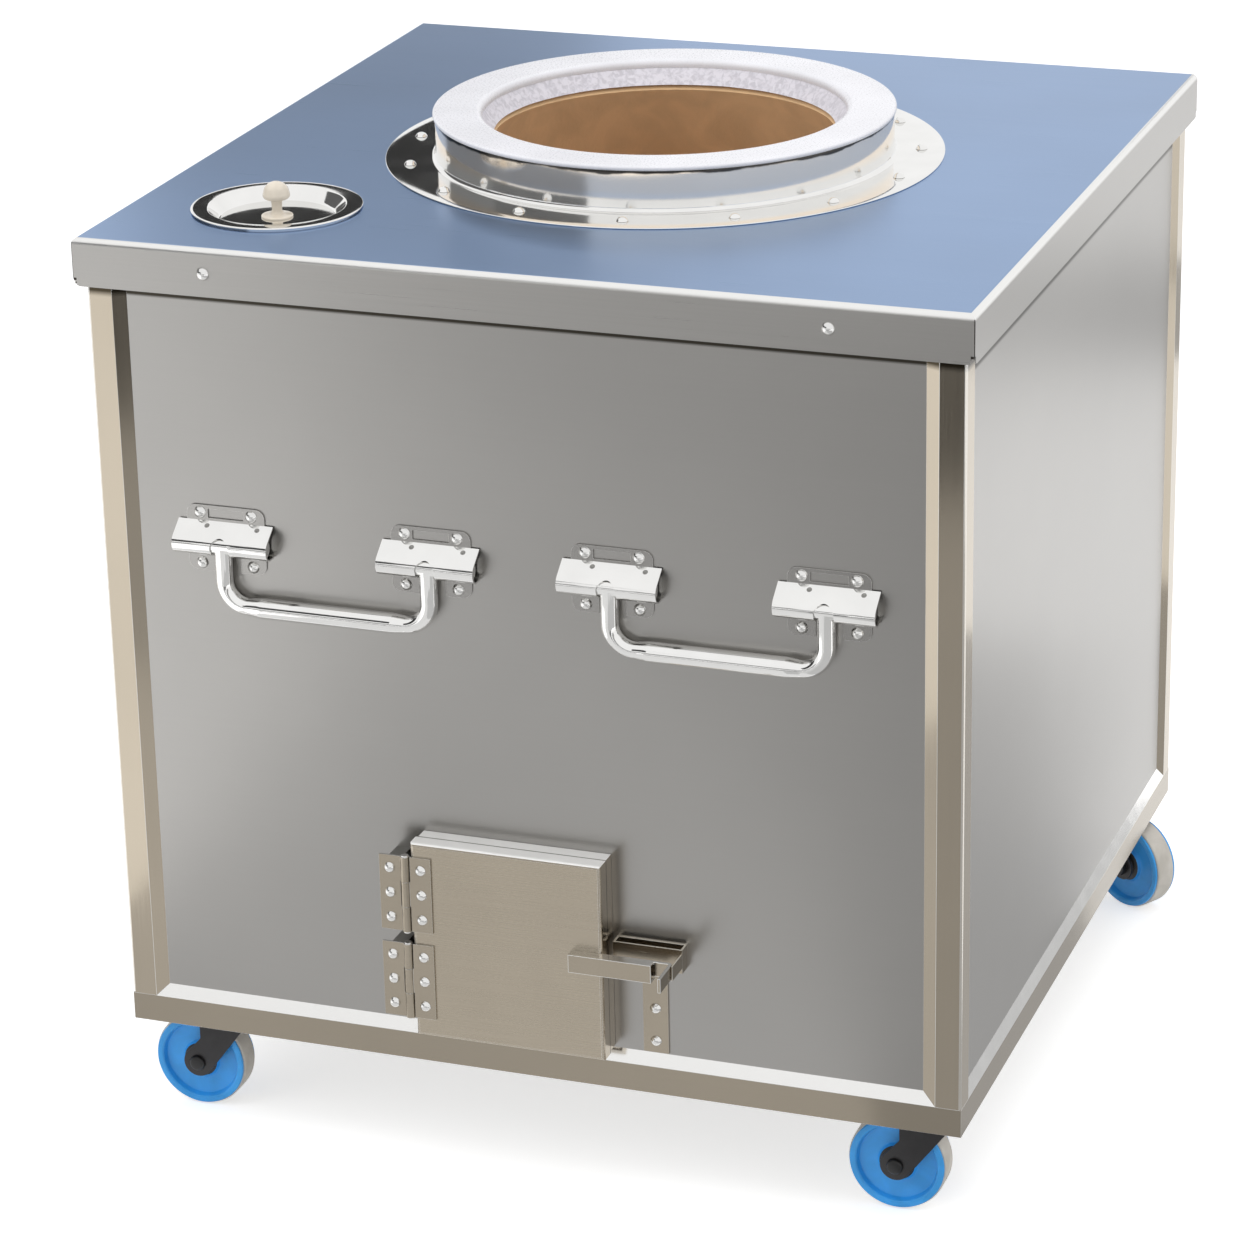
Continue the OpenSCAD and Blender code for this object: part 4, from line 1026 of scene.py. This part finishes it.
class MakeDoor(bpy.types.Operator):
    """Ash door: two pressed trays, hinges, latch bar and keeper"""

    bl_idname = "tandoor.door"
    bl_label = "Ash door"

    def execute(self, context):
        edge = sizes().sheet_edge
        for node, angle in (("door_front", 12), ("door_rear", 30)):
            tray = eased(node, node + "_pressed", ("door steel", "tray side", "tray top"), edge * 1.8, 2, angle, 35)
            # top faces take the near-white painted highlight, side faces the lighter copy of the door steel as painted
            # light
            repaint(tray, 2, lambda face: face.normal.z > 0.3)
            repaint(tray, 1, lambda face: face.normal.z < 0.5 and abs(face.normal.y) < 0.6)
        for node, width, top in (("hinge_fixed_leaves", 1.0, 2), ("hinge_door_leaves", 1.0, 2), ("latch_bar", 1.6, 2),
                                 ("keeper_bracket", 1.4, 1), ("keeper_catch", 0.8, 1)):
            piece = eased(node, node + "_eased", ("hinge steel", "shelf steel", "edge steel"), edge * width, 2, 30, 35)
            # top faces take a pale polished steel as painted highlight: the edge finish on hinges and latch bar, the
            # warm pale one on the keeper
            repaint(piece, top, lambda face: face.normal.z > 0.6)
        eased("hinge_pins", "hinge_pins_turned", ("handle steel",), edge, 2, 40, 35)
        paint(NODES["hinge_packers"], "zinc steel")
        paint(NODES["door_core"], "mineral wool")
        return {"FINISHED"}


class MakeCastors(bpy.types.Operator):
    """Castors: pressed black forks, turned blue wheels with rubber treads, axles, plates and bolts"""

    bl_idname = "tandoor.castors"
    bl_label = "Castors"

    def execute(self, context):
        for corner in ("front_left", "front_right", "rear_left", "rear_right"):
            fork, axle = "fork_" + corner, "axle_" + corner
            eased(fork, fork + "_pressed", ("black enamel",), 0.6 * MM, slot="black_steel")
            eased(axle, axle + "_turned", ("hub black",), 0.4 * MM, slot="dark_steel")
            self.make_wheel(corner)
        eased("castor_plates", "castor_plates_pressed", ("zinc steel",), 0.4 * MM, slot="dark_steel")
        paint(NODES["castor_bolts"], "zinc steel")
        paint(NODES["castor_pads"], "zinc steel")
        return {"FINISHED"}

    def make_wheel(self, corner):
        """Hub, dished web, raised rim and rounded tread, turned about the wheel's own axis."""
        joint = next(j for j in frame["joints"] if j["name"] == "spin_" + corner)
        centre, axis = Vector(joint["pos_m"]), Vector(joint["axis"])
        turn = Vector((0, 0, 1)).rotation_difference(axis).to_euler()
        half = [(6.06, 17.2), (10.4, 17.2), (11, 16.8), (12.5, 14.4), (17.2, 12.6), (18.0, 11.6), (18.8, 9.2),
                (20.4, 8.1), (36.8, 8.0), (38.2, 8.5), (39.0, 11.5), (39.7, 13.9), (41.2, 15.0), (44.8, 15.0)]
        half += arc(45.0, 13.5, 1.5, 80, 0, 5) + [(46.5, 12.5), (46.0, 12.0), (42.0, 12.0)]
        profile = [(r * MM, z * MM) for r, z in half] + [(r * MM, -z * MM) for r, z in reversed(half)]
        core = lathe("wheel_%s_turned" % corner, profile, 96)
        add_bevel(core, 0.4 * MM, 2, 25)
        apply_all(core)
        paint(core, "blue plastic", "hub black")
        repaint(core, 1, lambda face: face.center.xy.length < 17.6 * MM)
        place(core, centre, turn)
        smooth(core, 40)
        finish_piece(core, "roller_" + corner, "wheel_blue", None, "wheel_" + corner)
        side = arc(46.2, 10.1, 1.7, 90, 12, 6)
        half = [(42.0, 11.9)] + side + [(48.0, 7.0), (48.0, 2.0)]
        profile = half + [(r, -z) for r, z in reversed(half)]
        tread = lathe("tread_%s_moulded" % corner, [(r * MM, z * MM) for r, z in profile], 96)
        place(tread, centre, turn)
        smooth(tread, 40)
        finish_piece(tread, "roller_" + corner, "tread_grey", "tread rubber", "tread_" + corner)


class MakeInside(bpy.types.Operator):
    """Finishes of the parts inside: slab, insulation, ash duct and well"""

    bl_idname = "tandoor.inside"
    bl_label = "Inside"

    def execute(self, context):
        paint(NODES["hearth_slab"], "firebrick")
        paint(NODES["insulation"], "mineral wool")
        paint(NODES["ash_duct"], "duct steel")
        paint(NODES["well_pot"], "handle steel")
        return {"FINISHED"}


class MakeStage(bpy.types.Operator):
    """Stage: pale floor, soft lamps, white surroundings and the camera"""

    bl_idname = "tandoor.stage"
    bl_label = "Stage"

    def execute(self, context):
        self.make_floor()
        self.make_world()
        self.make_lamps()
        self.make_cards()
        self.make_camera()
        return {"FINISHED"}

    def for_seen_rays(self, tree, hidden, shown):
        """One shader for the light on the object, the other for what camera, glossy and transmission rays meet."""
        rays = add_node(tree, "LightPath").outputs
        seen = rays["Is Camera Ray"]
        for kind in ("Is Glossy Ray", "Is Transmission Ray"):
            seen = add_node(tree, "Math", {0: seen, 1: rays[kind]}, operation="MAXIMUM").outputs[0]
        return add_node(tree, "MixShader", {0: seen, 1: hidden, 2: shown}).outputs[0]

    def make_floor(self):
        deselect()
        bpy.ops.mesh.primitive_plane_add(size=60, location=(0, 0, 0))
        floor = added("studio_floor")
        material, tree = new_material("studio floor")
        pale = add_node(tree, "BsdfPrincipled", {"Base Color": (0.86, 0.86, 0.86, 1), "Roughness": 0.9}).outputs[0]
        glow = add_node(tree, "Emission", {"Strength": 0.55}).outputs[0]
        lit = add_node(tree, "AddShader", {0: pale, 1: glow}).outputs[0]
        add_node(tree, "OutputMaterial", {"Surface": self.for_seen_rays(tree, pale, lit)})
        floor.data.materials.append(material)

    def make_world(self):
        world = bpy.data.worlds.new("studio")
        bpy.context.scene.world = world
        world.use_nodes = True
        tree = world.node_tree
        tree.nodes.clear()
        soft, white = (add_node(tree, "Background", {"Color": (1, 1, 1, 1), "Strength": strength}).outputs[0]
                       for strength in (0.55, 1.0))
        add_node(tree, "OutputWorld", {"Surface": self.for_seen_rays(tree, soft, white)})

    def make_lamps(self):
        lamps = (("key", (-3.0, -3.2, 3.2), 3.6, 50.0), ("side", (3.9, -0.6, 2.9), 3.0, 28.0),
                 ("overhead", (0.0, -0.3, 4.0), 4.0, 66.0))
        for name, spot, size, power in lamps:
            deselect()
            bpy.ops.object.light_add(type="AREA", location=spot)
            lamp = bpy.context.active_object
            lamp.name = name + "_lamp"
            lamp.data.size = size
            lamp.data.energy = power
            lamp.visible_glossy = False
            aim = Vector((BODY_X, BODY_Y, 0.45)) - Vector(spot)
            lamp.rotation_euler = aim.to_track_quat("-Z", "Y").to_euler()

    def make_cards(self):
        """Grey cards that only reflections show, so that polished and brushed steel has something to mirror."""
        cards = (("back_card", (-1.43, 2.60, 1.73), (0.80, 0.50), (90, 0, 18), 0.04),
                 ("left_card", (-2.70, 0.30, 1.75), (2.20, 1.50), (90, 0, 90), 0.12),
                 ("wall_card", (0.00, -7.00, 0.60), (12.0, 1.20), (90, 0, 0), 0.35),
                 ("front_card", (-0.50, -1.78, 0.010), (0.64, 1.76), (0, 0, -20), 0.80),
                 ("lip_card", (-1.05, -3.08, 0.010), (0.80, 1.06), (0, 0, -20), 0.22),
                 ("post_card", (0.92, -1.55, 0.012), (1.88, 2.23), (0, 0, -20), 0.56),
                 ("dark_card", (0.34, -3.15, 0.012), (1.88, 1.17), (0, 0, -20), 0.15),
                 ("low_card", (0.00, -0.80, 0.009), (1.30, 0.72), (0, 0, 0), 0.82),
                 ("right_card", (1.35, 2.30, 0.011), (2.20, 0.50), (0, 0, -20), 0.55),
                 ("near_card", (0.75, 0.35, 0.011), (0.50, 1.40), (0, 0, -20), 0.60),
                 ("high_card", (-3.20, -2.75, 2.20), (4.90, 1.40), (90, 0, -49), 0.05))
        for name, spot, size, turns, tone in cards:
            deselect()
            bpy.ops.mesh.primitive_plane_add(size=1, location=spot, rotation=[math.radians(t) for t in turns])
            card = added(name)
            card.scale = (*size, 1)
            bpy.ops.object.transform_apply(location=False, rotation=False, scale=True)
            material, tree = new_material(name)
            glow = add_node(tree, "Emission", {"Color": (tone, tone, tone, 1)}).outputs[0]
            add_node(tree, "OutputMaterial", {"Surface": glow})
            card.data.materials.append(material)
            card.visible_camera = False
            card.visible_diffuse = False
            card.visible_transmission = False
            card.visible_shadow = False

    def make_camera(self):
        view = bpy.context.scene.tandoor_view
        deselect()
        bpy.ops.object.camera_add(location=(0, 0, 0))
        camera = bpy.context.active_object
        camera.name = "camera"
        camera.data.lens = view.lens
        camera.data.sensor_width = 36
        camera.data.clip_start = 0.1
        camera.data.clip_end = 100
        a, e = view.turn, view.rise
        forward = -Vector((math.sin(a) * math.cos(e), -math.cos(a) * math.cos(e), math.sin(e)))
        right = forward.cross(Vector((0, 0, 1))).normalized()
        up = right.cross(forward)
        c, s = math.cos(view.roll), math.sin(view.roll)
        x_axis = right * c + up * s
        y_axis = up * c - right * s
        target = Vector((BODY_X - 0.0499, BODY_Y, 0.4029))
        matrix = Matrix((x_axis, y_axis, -forward)).transposed().to_4x4()
        matrix.translation = target - forward * view.distance
        camera.matrix_world = matrix
        bpy.context.scene.camera = camera


class TandoorPanel(bpy.types.Panel):
    """Lists the oven's steps in the sidebar"""

    bl_idname = "VIEW3D_PT_tandoor"
    bl_label = "Clay tandoor oven"
    bl_space_type = "VIEW_3D"
    bl_region_type = "UI"
    bl_category = "Tandoor"

    def draw(self, context):
        column = self.layout.column(align=True)
        for group in (context.scene.tandoor_sizes, context.scene.tandoor_colours, context.scene.tandoor_view):
            for name in group.__annotations__:
                column.prop(group, name)
        for step in STEPS:
            column.operator(step.bl_idname)


STEPS = (MakeStage, MakeBody, MakeCover, MakeMouth, MakeLid, MakeHandles, MakeDoor, MakeRivets, MakeCastors,
         MakeInside)
CLASSES = (TandoorSizes, TandoorColours, TandoorView, *STEPS, TandoorPanel)


def register():
    for cls in CLASSES:
        bpy.utils.register_class(cls)
    bpy.types.Scene.tandoor_sizes = bpy.props.PointerProperty(type=TandoorSizes)
    bpy.types.Scene.tandoor_colours = bpy.props.PointerProperty(type=TandoorColours)
    bpy.types.Scene.tandoor_view = bpy.props.PointerProperty(type=TandoorView)


def unregister():
    del bpy.types.Scene.tandoor_view
    del bpy.types.Scene.tandoor_colours
    del bpy.types.Scene.tandoor_sizes
    for cls in reversed(CLASSES):
        bpy.utils.unregister_class(cls)


def main():
    register()
    bpy.context.scene.view_settings.view_transform = "Standard"
    for step in STEPS:
        category, name = step.bl_idname.split(".")
        getattr(getattr(bpy.ops, category), name)()


if __name__ == "__main__":
    main()
